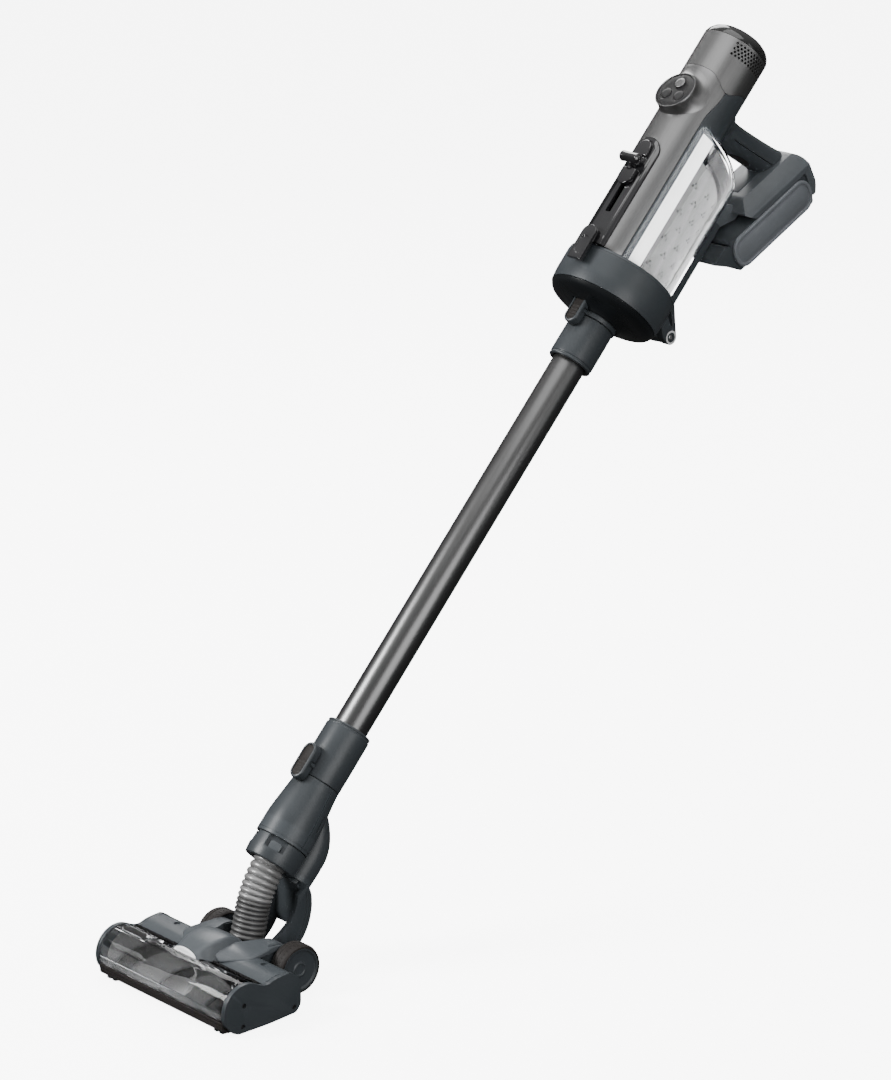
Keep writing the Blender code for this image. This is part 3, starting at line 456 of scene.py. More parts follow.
def ring_loft(sections):
    """Sections that close on themselves, such as outer skin, rim, inner skin, rim."""
    bm = bmesh.new()
    bridge(bm, [[bm.verts.new(point) for point in section] for section in sections], True)
    return bm


def prism(outline, low, high, axis='X'):
    """An outline stretched from low to high along an axis."""
    return loft([[place_point(axis, u, v, h) for u, v in outline] for h in (low, high)])


def lathe(profile, centre=(0.0, 0.0), axis='Z', sides=96):
    """Turn (radius, height) points; a profile that leaves the axis closes on itself."""
    bm = bmesh.new()
    loops = []
    for radius, height in profile:
        if radius == 0:
            loops.append([bm.verts.new(place_point(axis, *centre, height))])
            continue
        ring = []
        for i in range(sides):
            angle = 2 * math.pi * i / sides
            ring.append(bm.verts.new(place_point(axis, centre[0] + radius * math.cos(angle),
                                                 centre[1] + radius * math.sin(angle), height)))
        loops.append(ring)
    pairs = list(zip(loops, loops[1:]))
    if len(loops[0]) > 1:
        pairs.append((loops[-1], loops[0]))
    for first, second in pairs:
        for i in range(sides):
            j = (i + 1) % sides
            if len(first) == 1:
                bm.faces.new((first[0], second[j], second[i]))
            elif len(second) == 1:
                bm.faces.new((first[i], first[j], second[0]))
            else:
                bm.faces.new((first[i], first[j], second[j], second[i]))
    return bm


def rod(radius, low, high, centre=(0.0, 0.0), axis='Z', sides=48):
    """A round rod, or the tool that cuts a round hole."""
    return lathe(box(0, radius, high, low), centre, axis, sides)


def moved(bm, matrix):
    """A bmesh after a matrix."""
    bm.transform(matrix)
    return bm


def joined(*shapes):
    """Several bmeshes as one, still separate bodies."""
    whole = bmesh.new()
    for shape in shapes:
        mesh = bpy.data.meshes.new("part")
        shape.to_mesh(mesh)
        shape.free()
        whole.from_mesh(mesh)
        bpy.data.meshes.remove(mesh)
    return whole


def solid_bar(bm, foot, tip, foot_sides, tip_sides):
    """One bristle: a tapered bar, with half its width and depth at each end."""
    corners = []
    for end, (width, deep) in ((foot, foot_sides), (tip, tip_sides)):
        corners += [end - width - deep, end + width - deep, end + width + deep, end - width + deep]
    verts = [bm.verts.new(tuple(corner)) for corner in corners]
    for face in ((0, 3, 2, 1), (4, 5, 6, 7), (0, 1, 5, 4), (1, 2, 6, 5), (2, 3, 7, 6),
                 (3, 0, 4, 7)):
        bm.faces.new([verts[f] for f in face])


def raw_object(name, bm, space):
    """An object of a bmesh, turned from its own axes into the frame's metres."""
    bmesh.ops.recalc_face_normals(bm, faces=bm.faces)
    bm.transform(space)
    mesh = bpy.data.meshes.new(name)
    bm.to_mesh(mesh)
    bm.free()
    obj = bpy.data.objects.new(name, mesh)
    bpy.context.scene.collection.objects.link(obj)
    return obj


def settle(obj):
    """Replace an object's mesh with what its modifiers make of it."""
    graph = bpy.context.evaluated_depsgraph_get()
    made = bpy.data.meshes.new_from_object(obj.evaluated_get(graph))
    old = obj.data
    obj.modifiers.clear()
    obj.data = made
    bpy.data.meshes.remove(old)


def combine(obj, bm, space, operation):
    """Apply an exact Boolean with a shape and leave nothing of the tool behind."""
    tool = raw_object("tool", bm, space)
    modifier = obj.modifiers.new("cut", 'BOOLEAN')
    modifier.operation = operation
    modifier.solver = 'EXACT'
    modifier.object = tool
    settle(obj)
    mesh = tool.data
    bpy.data.objects.remove(tool)
    bpy.data.meshes.remove(mesh)


def carved(bm, *steps):
    """A shape of the wand's axes after some Booleans, given as (tool, operation)."""
    obj = raw_object("carved", bm, WAND)
    for tool, operation in steps:
        combine(obj, tool, WAND, operation)
    made = bmesh.new()
    made.from_mesh(obj.data)
    made.transform(WAND.inverted())
    mesh = obj.data
    bpy.data.objects.remove(obj)
    bpy.data.meshes.remove(mesh)
    return made


def piece(name, bm, body, paint, stands_for=(), space=WAND, cuts=(), unions=(), bevel=0.0,
          segments=3, sharp=30.0):
    """One visible piece: its mesh, edge rounding, material, body and the node it stands for."""
    obj = raw_object(name, bm, space)
    for shape in unions:
        combine(obj, shape, space, 'UNION')
    for shape in cuts:
        combine(obj, shape, space, 'DIFFERENCE')
    if bevel:
        edge = obj.modifiers.new("edge", 'BEVEL')
        edge.width = bevel * MM
        edge.segments = segments
        edge.limit_method = 'ANGLE'
        edge.angle_limit = math.radians(sharp)
        edge.harden_normals = False
        settle(obj)
    obj.data.materials.clear()
    obj.data.materials.append(paints[paint])
    obj.data.shade_smooth()
    obj.data.set_sharp_from_angle(angle=math.radians(42.0))
    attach(obj, body)
    if stands_for:
        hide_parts(stands_for)


def smoothstep(low, high, value):
    """0 up to low, 1 from high on, and a smooth rise between them."""
    t = min(1.0, max(0.0, (value - low) / (high - low)))
    return t * t * (3 - 2 * t)


def smooth_sections(keys, steps):
    """Cubic in-between values of rows of numbers, for lofts with few driving sections."""
    rows = np.array(keys, float)
    last = len(rows) - 1
    slopes = [(rows[min(last, i + 1)] - rows[max(0, i - 1)]) / (min(last, i + 1) - max(0, i - 1))
              for i in range(last + 1)]
    made = []
    for i in range(last):
        for step in range(steps):
            t = step / steps
            made.append((2 * t ** 3 - 3 * t * t + 1) * rows[i]
                        + (t ** 3 - 2 * t * t + t) * slopes[i]
                        + (3 * t * t - 2 * t ** 3) * rows[i + 1] + (t ** 3 - t * t) * slopes[i + 1])
    return made + [rows[-1]]


# ---- motor unit --------------------------------------------------------------------------------
def motor_point(radius, degrees, height):
    """A point on the motor tube; degrees count from its front line."""
    angle = math.radians(degrees)
    return (radius * math.sin(angle), MOTOR_Y - radius * math.cos(angle), height)


def outward(point, degrees):
    """The axes of a hole at a point, pointing out from the tube at that angle."""
    return Matrix.Translation(point) @ turned(degrees, 'Z') @ turned(90, 'X')


def seam_height(degrees):
    """The exhaust seam dips where the dark shell reaches it on each side."""
    dip = (abs(degrees if degrees <= 180 else 360 - degrees) - 71.0) / 25.0
    return 1050.6 - 13.0 * math.exp(-dip * dip)


def shell_edge(height):
    """Angle of the line between silver cover and dark tray; it flares out near the seam."""
    return 61.0 + 9.0 * smoothstep(1004.0, 1040.0, height)


def tube_patch(first_edge, last_edge, columns, rows=40):
    """A curved plate of the motor tube between two edges, whose angles depend on the height."""
    low = LID_TOP + 0.4
    verts = []
    bm = bmesh.new()
    for radius in (MOTOR_R, 33.6):
        grid = []
        for j in range(rows + 1):
            level = low + (PATCH_TOP - low) * j / rows
            first, last = first_edge(level), last_edge(level)
            line = []
            for i in range(columns + 1):
                angle = first + (last - first) * i / columns
                height = low + (seam_height(angle) - 0.25 - low) * j / rows
                line.append(bm.verts.new(motor_point(radius, angle, height)))
            grid.append(line)
        verts.append(grid)
    for grid in verts:
        for j in range(rows):
            for i in range(columns):
                bm.faces.new((grid[j][i], grid[j][i + 1], grid[j + 1][i + 1], grid[j + 1][i]))
    front, rear = verts
    for j in range(rows):
        for i in (0, columns):
            bm.faces.new((front[j][i], front[j + 1][i], rear[j + 1][i], rear[j][i]))
    for i in range(columns):
        for j in (0, rows):
            bm.faces.new((front[j][i], front[j][i + 1], rear[j][i + 1], rear[j][i]))
    return bm


def build_motor_cover():
    """The silver front half of the motor tube, with an arch cut out for the track."""
    bm = tube_patch(lambda level: -shell_edge(level) + 0.3, lambda level: shell_edge(level) - 0.3,
                    72)
    arch = prism(stadium(-17.7, 17.7, 780.0, 961.5, 24), -75.0, -45.0, 'Y')
    piece("motor_cover_skin", bm, "power_unit", "silver", "motor_cover", cuts=(arch,), bevel=0.45)


def build_motor_tray():
    """The dark back half of the motor tube."""
    bm = tube_patch(lambda level: shell_edge(level) + 0.3, lambda level: 359.7 - shell_edge(level),
                    110)
    piece("motor_tray_skin", bm, "power_unit", "slate", "motor_tray", bevel=0.4)


def build_exhaust():
    """The vented sleeve at the top, its smoked dome, and the dark cap inside it."""
    rings = []
    for radius, top in ((MOTOR_R, 1092.2), (MOTOR_R, None), (33.5, None), (33.5, 1092.2)):
        rings.append([motor_point(radius, angle, top or seam_height(angle) + 0.15)
                      for angle in (360.0 * i / 96 for i in range(96))])
    # five staggered rows of vent holes on each side
    holes = []
    for row in range(5):
        for column in range(15):
            turn = 45.0 + 7.0 * column + (3.5 if row % 2 else 0.0)
            for side in (-1, 1):
                spot = outward(motor_point(MOTOR_R, side * turn, 1075.6 + 3.15 * row), side * turn)
                holes.append(moved(rod(1.35, -4.0, 4.0, sides=14), spot))
    piece("exhaust_sleeve_skin", ring_loft(rings), "power_unit", "silver", "exhaust_sleeve",
          cuts=(joined(*holes),), bevel=0.18, segments=1, sharp=50)
    dome = [(0, 1109.2), (12, 1108.9), (20, 1107.8), (26.5, 1105.6), (31.0, 1102.5), (34.0, 1098.6),
            (35.3, 1095.0), (MOTOR_R, 1092.6), (33.2, 1092.6), (33.0, 1087.5), (31.0, 1087.5),
            (30.0, 1097.0), (24.0, 1103.0), (0, 1106.0)]
    piece("exhaust_cap_skin", lathe(dome, (0, MOTOR_Y), sides=128), "power_unit", "smoke",
          "exhaust_cap")
    inner = [(0, 1101.0), (22.0, 1099.5), (27.5, 1095.5), (29.0, 1091.0), (29.0, 1084.2),
             (0, 1084.2)]
    piece("exhaust_inner_cap", lathe(fillet(inner, 2.0, 4, False), (0, MOTOR_Y), sides=96),
          "power_unit", "gloss")


def build_channel():
    """The black track on the front of the motor tube, in which the dirt slider runs."""
    ring = lathe(band(36.8, 31.2, 975.0, LID_TOP + 0.4), (0, MOTOR_Y), sides=200)
    deep = lathe(band(60.0, 35.7, 975.0, 846.0), (0, MOTOR_Y), sides=200)
    recess = carved(prism(stadium(-13.4, 13.4, 800.0, 957.2, 24), -80.0, -50.0, 'Y'),
                    (deep, 'INTERSECT'))
    track = carved(prism(stadium(-17.35, 17.35, 790.0, 961.1, 24), -70.0, -50.0, 'Y'),
                   (ring, 'INTERSECT'), (recess, 'DIFFERENCE'))
    slot = prism(rounded_box(-3.5, 3.5, 872.0, 944.0, 1.5), -75.0, -50.0, 'Y')
    leg = prism(rounded_box(-3.7, 3.7, LID_TOP - 4, 846.0, 1.0), -75.0, -50.0, 'Y')
    piece("channel_track_skin", track, "power_unit", "gloss", "channel_track", cuts=(slot, leg),
          bevel=0.35)
    pad = [(-9.2, 938.5), (9.2, 938.5), (9.2, 947.0)] + arc(0, 947.0, 9.2, 0, 180, 16)
    piece("channel_stop", prism(pad, -66.2, -61.6, 'Y'), "power_unit", "gloss", bevel=1.1,
          segments=4)


def build_slider():
    """The T-shaped knob: a crossbar with round ends that swells outwards, a post and a block."""
    bar = []
    for x in np.linspace(-13.2, 13.2, 31):
        past = abs(x) - 10.3
        end = math.sqrt(max(0.0, 1 - (past / 2.25) ** 2)) if past > 0 else 1.0
        swell = (5.4 + 0.7 * abs(x / 12.5) ** 3) * max(end, 0.12)
        bar.append([(x, y, z) for y, z in ellipse(-73.2, 930.0, swell, 0.95 * swell, 28)])
    post = prism(rounded_box(-2.9, 2.9, 924.0, 936.0, 1.0), -73.0, -57.0, 'Y')
    block = prism([(9.2, 922.0), (-9.2, 922.0)] + arc(0, 912.5, 9.2, 180, 360, 20), -67.6, -63.0,
                  'Y')
    piece("eject_slider_knob", joined(loft(bar), post, block), "slider", "gloss", "eject_slider",
          bevel=0.5, segments=3, sharp=40)


def build_latch():
    """The tab that holds the lid, with a dished finger rest."""
    outline = [(9.0, 812.0), (9.0, 842.0)] + arc(0, 842.0, 9.0, 0, 180, 24)[1:] + [(-9.0, 812.0)]
    tab = prism(outline, -70.4, -66.0, 'Y')
    finger = prism(rounded_box(-5.2, 5.2, 818.0, 838.0, 4.8, 8), -72.0, -69.6, 'Y')
    leg = prism(rounded_box(-3.0, 3.0, LID_TOP + 1.0, 844.0, 0.6), -67.0, -61.0, 'Y')
    piece("lid_latch_tab", tab, "latch", "gloss", "lid_latch", cuts=(finger,), unions=(leg,),
          bevel=0.7, segments=4)


def build_pod():
    """The control pod: a flared skirt that flows into the motor tube, and the key face."""
    steps = 13
    rings = [[] for _ in range(steps + 7)]
    for turn in (2 * math.pi * i / 96 for i in range(96)):
        across = Vector((math.cos(turn), math.sin(turn), 0))
        line = [POD @ (across * radius + Vector((0, 0, rise))) for radius, rise in
                ((15.0, -7.0), (18.7, -7.0), (18.8, -0.5), (19.1, -0.05), (19.9, -0.05),
                 (20.2, -0.5))]
        start = line[-1]
        flare = POD @ (across * (26.5 + 4.0 * math.sin(turn)))
        end_x = max(-33.0, min(33.0, flare.x))
        end = Vector((end_x, MOTOR_Y - math.sqrt((MOTOR_R - 0.15) ** 2 - end_x ** 2), flare.z))
        reach = 0.86 * (MOTOR_Y - math.sqrt(MOTOR_R ** 2 - start.x ** 2) - start.y)
        corner = start + Vector((0, reach, -reach * math.tan(POD_TILT)))
        for t in ((step + 1) / steps for step in range(steps)):
            line.append(start * (1 - t) ** 2 + corner * 2 * t * (1 - t) + end * t * t)
        line.append(end + Vector((0, 1.2, 0)))
        for ring, spot in zip(rings, line):
            ring.append(tuple(spot))
    bm = bmesh.new()
    bridge(bm, [[bm.verts.new(p) for p in ring] for ring in rings])
    piece("control_pod_skirt", bm, "power_unit", "silver", "control_pod")

    keys = (("power_button", 0.0, 8.0, "power_key"), ("mode_button_left", -7.6, -5.0, "left_key"),
            ("mode_button_right", 7.6, -5.0, "right_key"))
    face = [(0, -0.9), (12.0, -0.8), (17.2, -0.45), (18.5, -0.9), (18.5, -2.4), (0, -2.4)]
    holes = [rod(5.5, -5.0, 3.0, (x, y)) for _, x, y, _ in keys]
    piece("control_face_plate", moved(lathe(face, sides=96), POD), "power_unit", "panel",
          "control_face", cuts=[moved(hole, POD) for hole in holes], bevel=0.15, segments=2)
    for name, x, y, body in keys:
        power = name == "power_button"
        rise = 1.25 if power else 0.1
        top = [(0, rise), (3.6, rise), (5.2, rise - 0.4), (5.2, -1.9), (0, -1.9)]
        cap = lathe(fillet(top, 0.5, 4, False), (x, y), sides=64)
        low, high = rise - 0.15, rise + 1.0
        if power:
            mark = arc(x, y, 2.2, 125, 415, 28) + arc(x, y, 1.7, 415, 125, 28)
            stroke = rounded_box(x - 0.25, x + 0.25, y + 0.4, y + 2.9, 0.2, 2)
            marks = [prism(mark, low, high, 'Z'), prism(stroke, low, high, 'Z')]
        else:
            marks = [lathe(band(4.55, 4.2, high, low), (x, y), sides=48)]
        piece(name + "_cap", moved(cap, POD), body, "silver" if power else "panel", name,
              cuts=[moved(mark, POD) for mark in marks])


def crescent(bin_radius, motor_radius, steps=64):
    """The bin's outline: the back of one circle and the hollow that the motor tube leaves."""
    meet = (bin_radius ** 2 - motor_radius ** 2 + MOTOR_Y ** 2) / (2 * -MOTOR_Y)
    bin_angle = math.acos(meet / bin_radius)
    motor_angle = math.acos((meet + MOTOR_Y) / motor_radius)
    points = []
    for i in range(steps + 1):
        angle = bin_angle + (2 * math.pi - 2 * bin_angle) * i / steps
        points.append((bin_radius * math.sin(angle), -bin_radius * math.cos(angle)))
    for i in range(1, steps):
        angle = -motor_angle + (-2 * math.pi + 2 * motor_angle) * i / steps
        points.append((motor_radius * math.sin(angle), MOTOR_Y - motor_radius * math.cos(angle)))
    return points


def slanted(outline, height):
    """An outline at the slope of the bin's top; height counts at y = 0."""
    return [(x, y, height + BIN_SLOPE * y) for x, y in outline]


def build_bin():
    """The clear shell with a rounded top edge, two white strips in it that paint a reflection, and
    the pod with painted shade for its holes.
    """
    thick = 1.8
    outer, inner = [], []
    for inset, drop in ((0.0, None), (0.0, 9.0), (0.5, 5.2), (1.9, 2.2), (4.2, 0.5), (7.0, 0.0)):
        far = crescent(BIN_R - inset, MOTOR_R + 0.5)
        near = crescent(BIN_R - thick - inset, MOTOR_R + 0.5 + thick)
        if drop is None:
            outer.append([(x, y, LID_TOP + 0.35) for x, y in far])
            inner.append([(x, y, LID_TOP + 0.35) for x, y in near])
        else:
            outer.append(slanted(far, BIN_TOP - 0.2 - drop))
            inner.append(slanted(near, BIN_TOP - 2.2 - drop))
    piece("bin_shell_skin", loft(outer[::-1] + inner), "power_unit", "clear", "bin_shell")

    # two white strips just inside the clear shell: a painted reflection of a softbox in the clear
    # plastic
    for side in (-1, 1):
        section = [(side * radius * math.sin(math.radians(t)), -radius * math.cos(math.radians(t)))
                   for radius, start, end in ((51.3, 43.0, 58.0), (50.4, 58.0, 43.6))
                   for t in np.linspace(start, end, 16)]
        wall = [[(x, y, LID_TOP + 2.0) for x, y in section], slanted(section, BIN_TOP - 9.0)]
        piece(handed("bin_painted_glare", side), loft(wall), "power_unit", "white")

    pod_radius = BIN_R - 9.0
    body = crescent(pod_radius, MOTOR_R + 2.5)
    base = [slanted(body, 958.0), [(x, y, 840.0) for x, y in body]]
    piece("dust_pod_screen", loft(base), "power_unit", "pod", "dust_pod", bevel=0.6)
    # the holes are dark plugs of painted shade set into the uncut screen, in clusters of three, in
    # staggered columns below the slanted top
    dots = []
    for side in (-1, 1):
        for column in range(10):
            for row in range(4):
                turn = math.radians(68.0 + 12.4 * column)
                for across, rise in ((0.0, 1.8), (-2.3, -1.6), (2.3, -1.6)):
                    bend = turn + across / pod_radius
                    x = side * pod_radius * math.sin(bend)
                    y = -pod_radius * math.cos(bend)
                    z = 849.0 + 31.0 * row + (15.5 if column % 2 else 0.0) + rise
                    if z > 950.0 + BIN_SLOPE * y:
                        continue
                    spot = outward((x, y, z), math.degrees(side * bend))
                    dots.append(moved(rod(1.25, -1.2, 0.25, sides=14), spot))
    # the plugs take the bristle black as painted shade
    piece("dust_pod_hole_shade", joined(*dots), "power_unit", "bristle")
    # the grey cyclone outlet that looks out over the pod
    crown = crescent(pod_radius - 3.0, MOTOR_R + 6.0)
    piece("dust_pod_crown", loft([slanted(crown, 958.5), slanted(crown, 972.0)]), "power_unit",
          "grey_dark", bevel=1.5, segments=3)


def build_inside():
    """Filters, motor, impeller and circuit board: seen only where a cover opens."""
    foam = fillet(band(32.5, 18.2, 1046.2, 1083.8), 1.0, 4)
    piece("exhaust_filter_foam", lathe(foam, (0, MOTOR_Y), sides=96), "power_unit", "foam",
          "exhaust_filter")
    can = [(8.0, 1039.8), (25.9, 1039.8), (26.9, 1036.0), (26.9, 986.2), (4.2, 986.2),
           (4.2, 989.8), (23.9, 989.8), (23.9, 1036.8), (8.0, 1036.8)]
    piece("motor_can_shell", lathe(fillet(can, 0.8, 4), (0, MOTOR_Y), sides=96), "power_unit",
          "steel", "motor_can")
    outline = []
    for i in range(9):
        base = 2 * math.pi * i / 9
        for radius, turn in ((12.0, 0.10), (16.0, 0.18), (20.0, 0.30), (23.5, 0.46), (25.9, 0.62),
                             (25.9, 0.68), (23.5, 0.56), (20.0, 0.41), (16.0, 0.32), (12.0, 0.28)):
            outline.append((radius * math.cos(base + turn),
                            MOTOR_Y + radius * math.sin(base + turn)))
    piece("fan_impeller_blades", prism(outline, 966.1, 978.0, 'Z'), "impeller", "gloss",
          "fan_impeller", unions=(rod(26.9, 977.0, 979.9, (0, MOTOR_Y), sides=96),
                                  rod(2.95, 960.1, 1001.9, (0, MOTOR_Y), sides=32)), bevel=0.15,
          segments=1)
    board = prism(rounded_box(-11.4, 11.4, 992.1, 1037.9, 2.0, 5), MOTOR_Y - 30.3,
                  MOTOR_Y - 28.9, 'Y')
    holes = [prism(arc(x, z, 1.1, 0, 345, 23), MOTOR_Y - 33.0, MOTOR_Y - 27.0, 'Y')
             for x in (-8.8, 8.8) for z in (995.0, 1035.0)]
    piece("circuit_board_panel", board, "power_unit", "board", "circuit_board", cuts=holes)
    media = crescent(BIN_R - 6.6, MOTOR_R + 6.6)
    sections = [slanted(media, 961.8), slanted(media, 978.8)]
    piece("pre_motor_filter_foam", loft(sections), "power_unit", "foam", "pre_motor_filter",
          bevel=1.0)


# ---- handle, dock and battery ------------------------------------------------------------------
def grip_height(y):
    """Height of the grip's middle line, which rises to the back."""
    return 1018.4 + 0.2025 * y


def grip_ring(y, half_x, half_z, height, sides=72, power=2.3):
    """A rounded section across the grip, a little squarer than an ellipse."""
    points = []
    for i in range(sides):
        angle = 2 * math.pi * i / sides
        across, up = math.cos(angle), math.sin(angle)
        points.append((half_x * math.copysign(abs(across) ** (2 / power), across), y,
                       height + half_z * math.copysign(abs(up) ** (2 / power), up)))
    return points


def battery_point(along, out):
    """Battery coordinates, along its long side and out of its dock, as wand y, z."""
    sine, cosine = math.sin(BATTERY_TILT), math.cos(BATTERY_TILT)
    return (BATTERY_AT[0] + along * sine + out * cosine,
            BATTERY_AT[1] + along * cosine - out * sine)


def battery_outline(points):
    """Several battery coordinates as wand y, z."""
    return [battery_point(along, out) for along, out in points]


def battery_box(low, high, near, far):
    """A box in battery coordinates, low to high along it and near to far out of its dock."""
    return battery_outline(box(low, high, near, far))


def build_handle():
    """The grip, its line along each flank, and the soft pad underneath."""
    keys = [(-8.0, 30.0, 20.5, 5.0), (2.0, 25.0, 18.4, 4.4), (9.0, 20.0, 16.8, 2.4),
            (18.0, 17.4, 15.9, 0.5), (32.0, 16.2, 15.4, 0.0), (58.0, 15.9, 15.4, 0.0),
            (82.0, 16.7, 16.0, 0.0), (102.0, 18.6, 17.2, 0.0)]
    sections = [grip_ring(y, half_x, half_z, grip_height(y) + rise)
                for y, half_x, half_z, rise in smooth_sections(keys, 4)]
    groove = [grip_ring(y, 30.0, 0.5, grip_height(y) - 3.5, 24) for y in (20.0, 90.0)]
    piece("handle_grip_skin", loft(sections), "power_unit", "slate", "handle_grip",
          cuts=(rod(MOTOR_R + 0.2, 950.0, 1090.0, (0, MOTOR_Y), sides=128),
                prism(battery_box(20.0, 130.0, -24.3, 40.0), -60.0, 60.0), loft(groove)),
          bevel=0.35, segments=2)
    rubber = []
    for y, half_x, half_z in smooth_sections([(34.0, 12.0, 13.4), (38.0, 15.6, 15.7),
                                              (54.0, 16.15, 16.2), (70.0, 15.6, 15.9),
                                              (74.0, 12.5, 13.6)], 5):
        rubber.append([(half_x * across, y, grip_height(y) + half_z * up)
                       for across, up in arc(0, 0, 1.0, 208, 332, 40)])
    piece("grip_pad_skin", loft(rubber), "power_unit", "rubber", "grip_pad")


def build_dock():
    """The battery's dock with its chamfered flanks, and the spine down to the lid's hinge."""
    plan = [(-6.0, -3.0, 1.5), (-16.0, -12.5, 2.5), (-4.0, -23.8, 4.0), (77.0, -23.8, 5.0),
            (82.8, -16.0, 5.0), (82.8, 14.0, 6.0), (77.0, 24.6, 2.0), (72.9, 24.6, 0.5),
            (72.9, -3.0, 0.5)]
    outline = battery_outline(fillet(plan, 3.0, 5))
    chamfers = []
    for side in (-1, 1):
        chamfers.append(loft([[(side * x, *battery_point(along, out)) for x, out in
                               ((41.0, -3.4), (41.0, -31.0), (15.5, -31.0))]
                              for along in (-60.0, 120.0)]))
    foot = [(54.5, 960.9), (54.5, 945.3), (72.0, 945.3), (84.0, 962.0), (86.0, 975.0),
            (76.0, 975.0)]
    piece("battery_dock_skin", prism(outline, -35.8, 35.8), "power_unit", "slate_light",
          "battery_dock", cuts=chamfers, unions=(prism(foot, -11.8, 11.8),), bevel=1.1,
          segments=4, sharp=24)
    piece("battery_dock_band", prism(battery_box(4.0, 66.0, -24.3, -23.2), -9.0, 9.0),
          "power_unit", "slate", bevel=0.4)

    spine = [(54.6, 944.7), (54.6, LID_TOP + 2.2), (62.2, LID_TOP), (62.2, 828.2),
             (80.0, HINGE[1] - 6.3), (90.0, HINGE[1] - 7.8)]
    spine += arc(*HINGE, 7.8, -90, 60, 20) + [(70.0, 850.2), (69.4, 944.7)]
    window = [(66.0, 846.0), (66.0, 838.0), (82.0, 830.5), (84.0, 832.0)]
    slot = rounded_box(-8.0, 8.0, 862.0, 930.0, 3.0)
    piece("rear_spine_skin", prism(spine, -13.8, 13.8), "power_unit", "slate", "rear_spine",
          cuts=(prism(box(61.0, 110.0, 800.0, 834.0), -5.4, 5.4),
                rod(2.9, -16.0, 16.0, HINGE, 'X', 32), prism(window, -30.0, 30.0),
                prism(slot, 68.4, 80.0, 'Y')), bevel=0.9, segments=4)
    piece("hinge_pin_body", rod(2.45, -13.4, 13.4, HINGE, 'X', 32), "power_unit", "steel",
          "hinge_pin", bevel=0.4)
    for side in (-1, 1):
        ring = lathe(band(7.0, 5.2, side * 13.8, side * 14.0), HINGE, 'X', 64)
        piece(handed("hinge_ring", side), ring, "power_unit", "grey")


def build_battery():
    """Case with ribs across its end and its back, two side plates, the cells and the key."""
    low, high = -50.0, 72.0
    near, far = -2.5, 32.5
    plan = [(low, far, 5.0), (high, far, 5.0), (high, near, 4.0), (low + 1.0, near, 4.0)]
    outline = battery_outline(fillet(plan, 3.0, 5)) + [(70.6, 923.6), (70.6, 901.4)]
    cuts = [prism(battery_box(-44.0, 66.0, 5.0, 27.0), -40.0, 40.0),
            prism(battery_box(46.8, 64.2, 29.6, 40.0), -12.2, 12.2)]
    for i in range(9):
        out = 1.0 + 3.4 * i
        cuts.append(prism(battery_box(-46.5, -52.0, out, out + 1.5), -27.0, 27.0))
    for i in range(9):
        x = -27.5 + 6.6 * i
        rib = battery_outline(band(-30.0, 36.0, 31.6, 36.0))
        cuts.append(prism(rib, x, x + 2.6))
    piece("battery_case_skin", prism(outline, -34.3, 34.3), "battery", "slate", "battery_case",
          cuts=cuts, bevel=0.5, segments=2)
    for side in (-1, 1):
        sections = []
        for x, inset in ((34.9, 0.1), (36.6, 0.1), (37.5, 0.5), (37.95, 1.4), (37.95, 3.4),
                         (37.6, 3.9), (36.9, 4.1), (36.9, 6.0), (37.3, 6.6)):
            edge = rounded_box(near + inset, far - inset, low + inset, high - inset, 15.0 - inset,
                               20)
            sections.append([(side * x, *battery_point(along, out)) for out, along in edge])
        name = handed("battery_plate", side)
        piece(name + "_skin", loft(sections), "battery", "plate", name)
    pack = [battery_point(along, out) for out, along in stadium(6.4, 25.6, -42.0, 64.0, 16)]
    piece("battery_cells_wrap", prism(pack, -32.4, 32.4), "battery", "cell", "battery_cells",
          bevel=0.8)
    ribs = [prism(battery_box(50.0 + 3.4 * i, 51.3 + 3.4 * i, 34.0, 36.0), -9.0, 9.0)
            for i in range(4)]
    piece("battery_latch_key", prism(battery_box(47.1, 63.9, 31.5, 34.5), -11.8, 11.8),
          "battery_catch", "gloss", "battery_latch", cuts=ribs, bevel=0.35, segments=2)


# ---- lid, wand and its cuffs -------------------------------------------------------------------
def fulcrum(height):
    """The block on a cuff that a release lever rocks on."""
    return prism(rounded_box(-8.5, 8.5, height - 1.9, height + 1.9, 1.0, 3), -28.8, -22.5, 'Y')


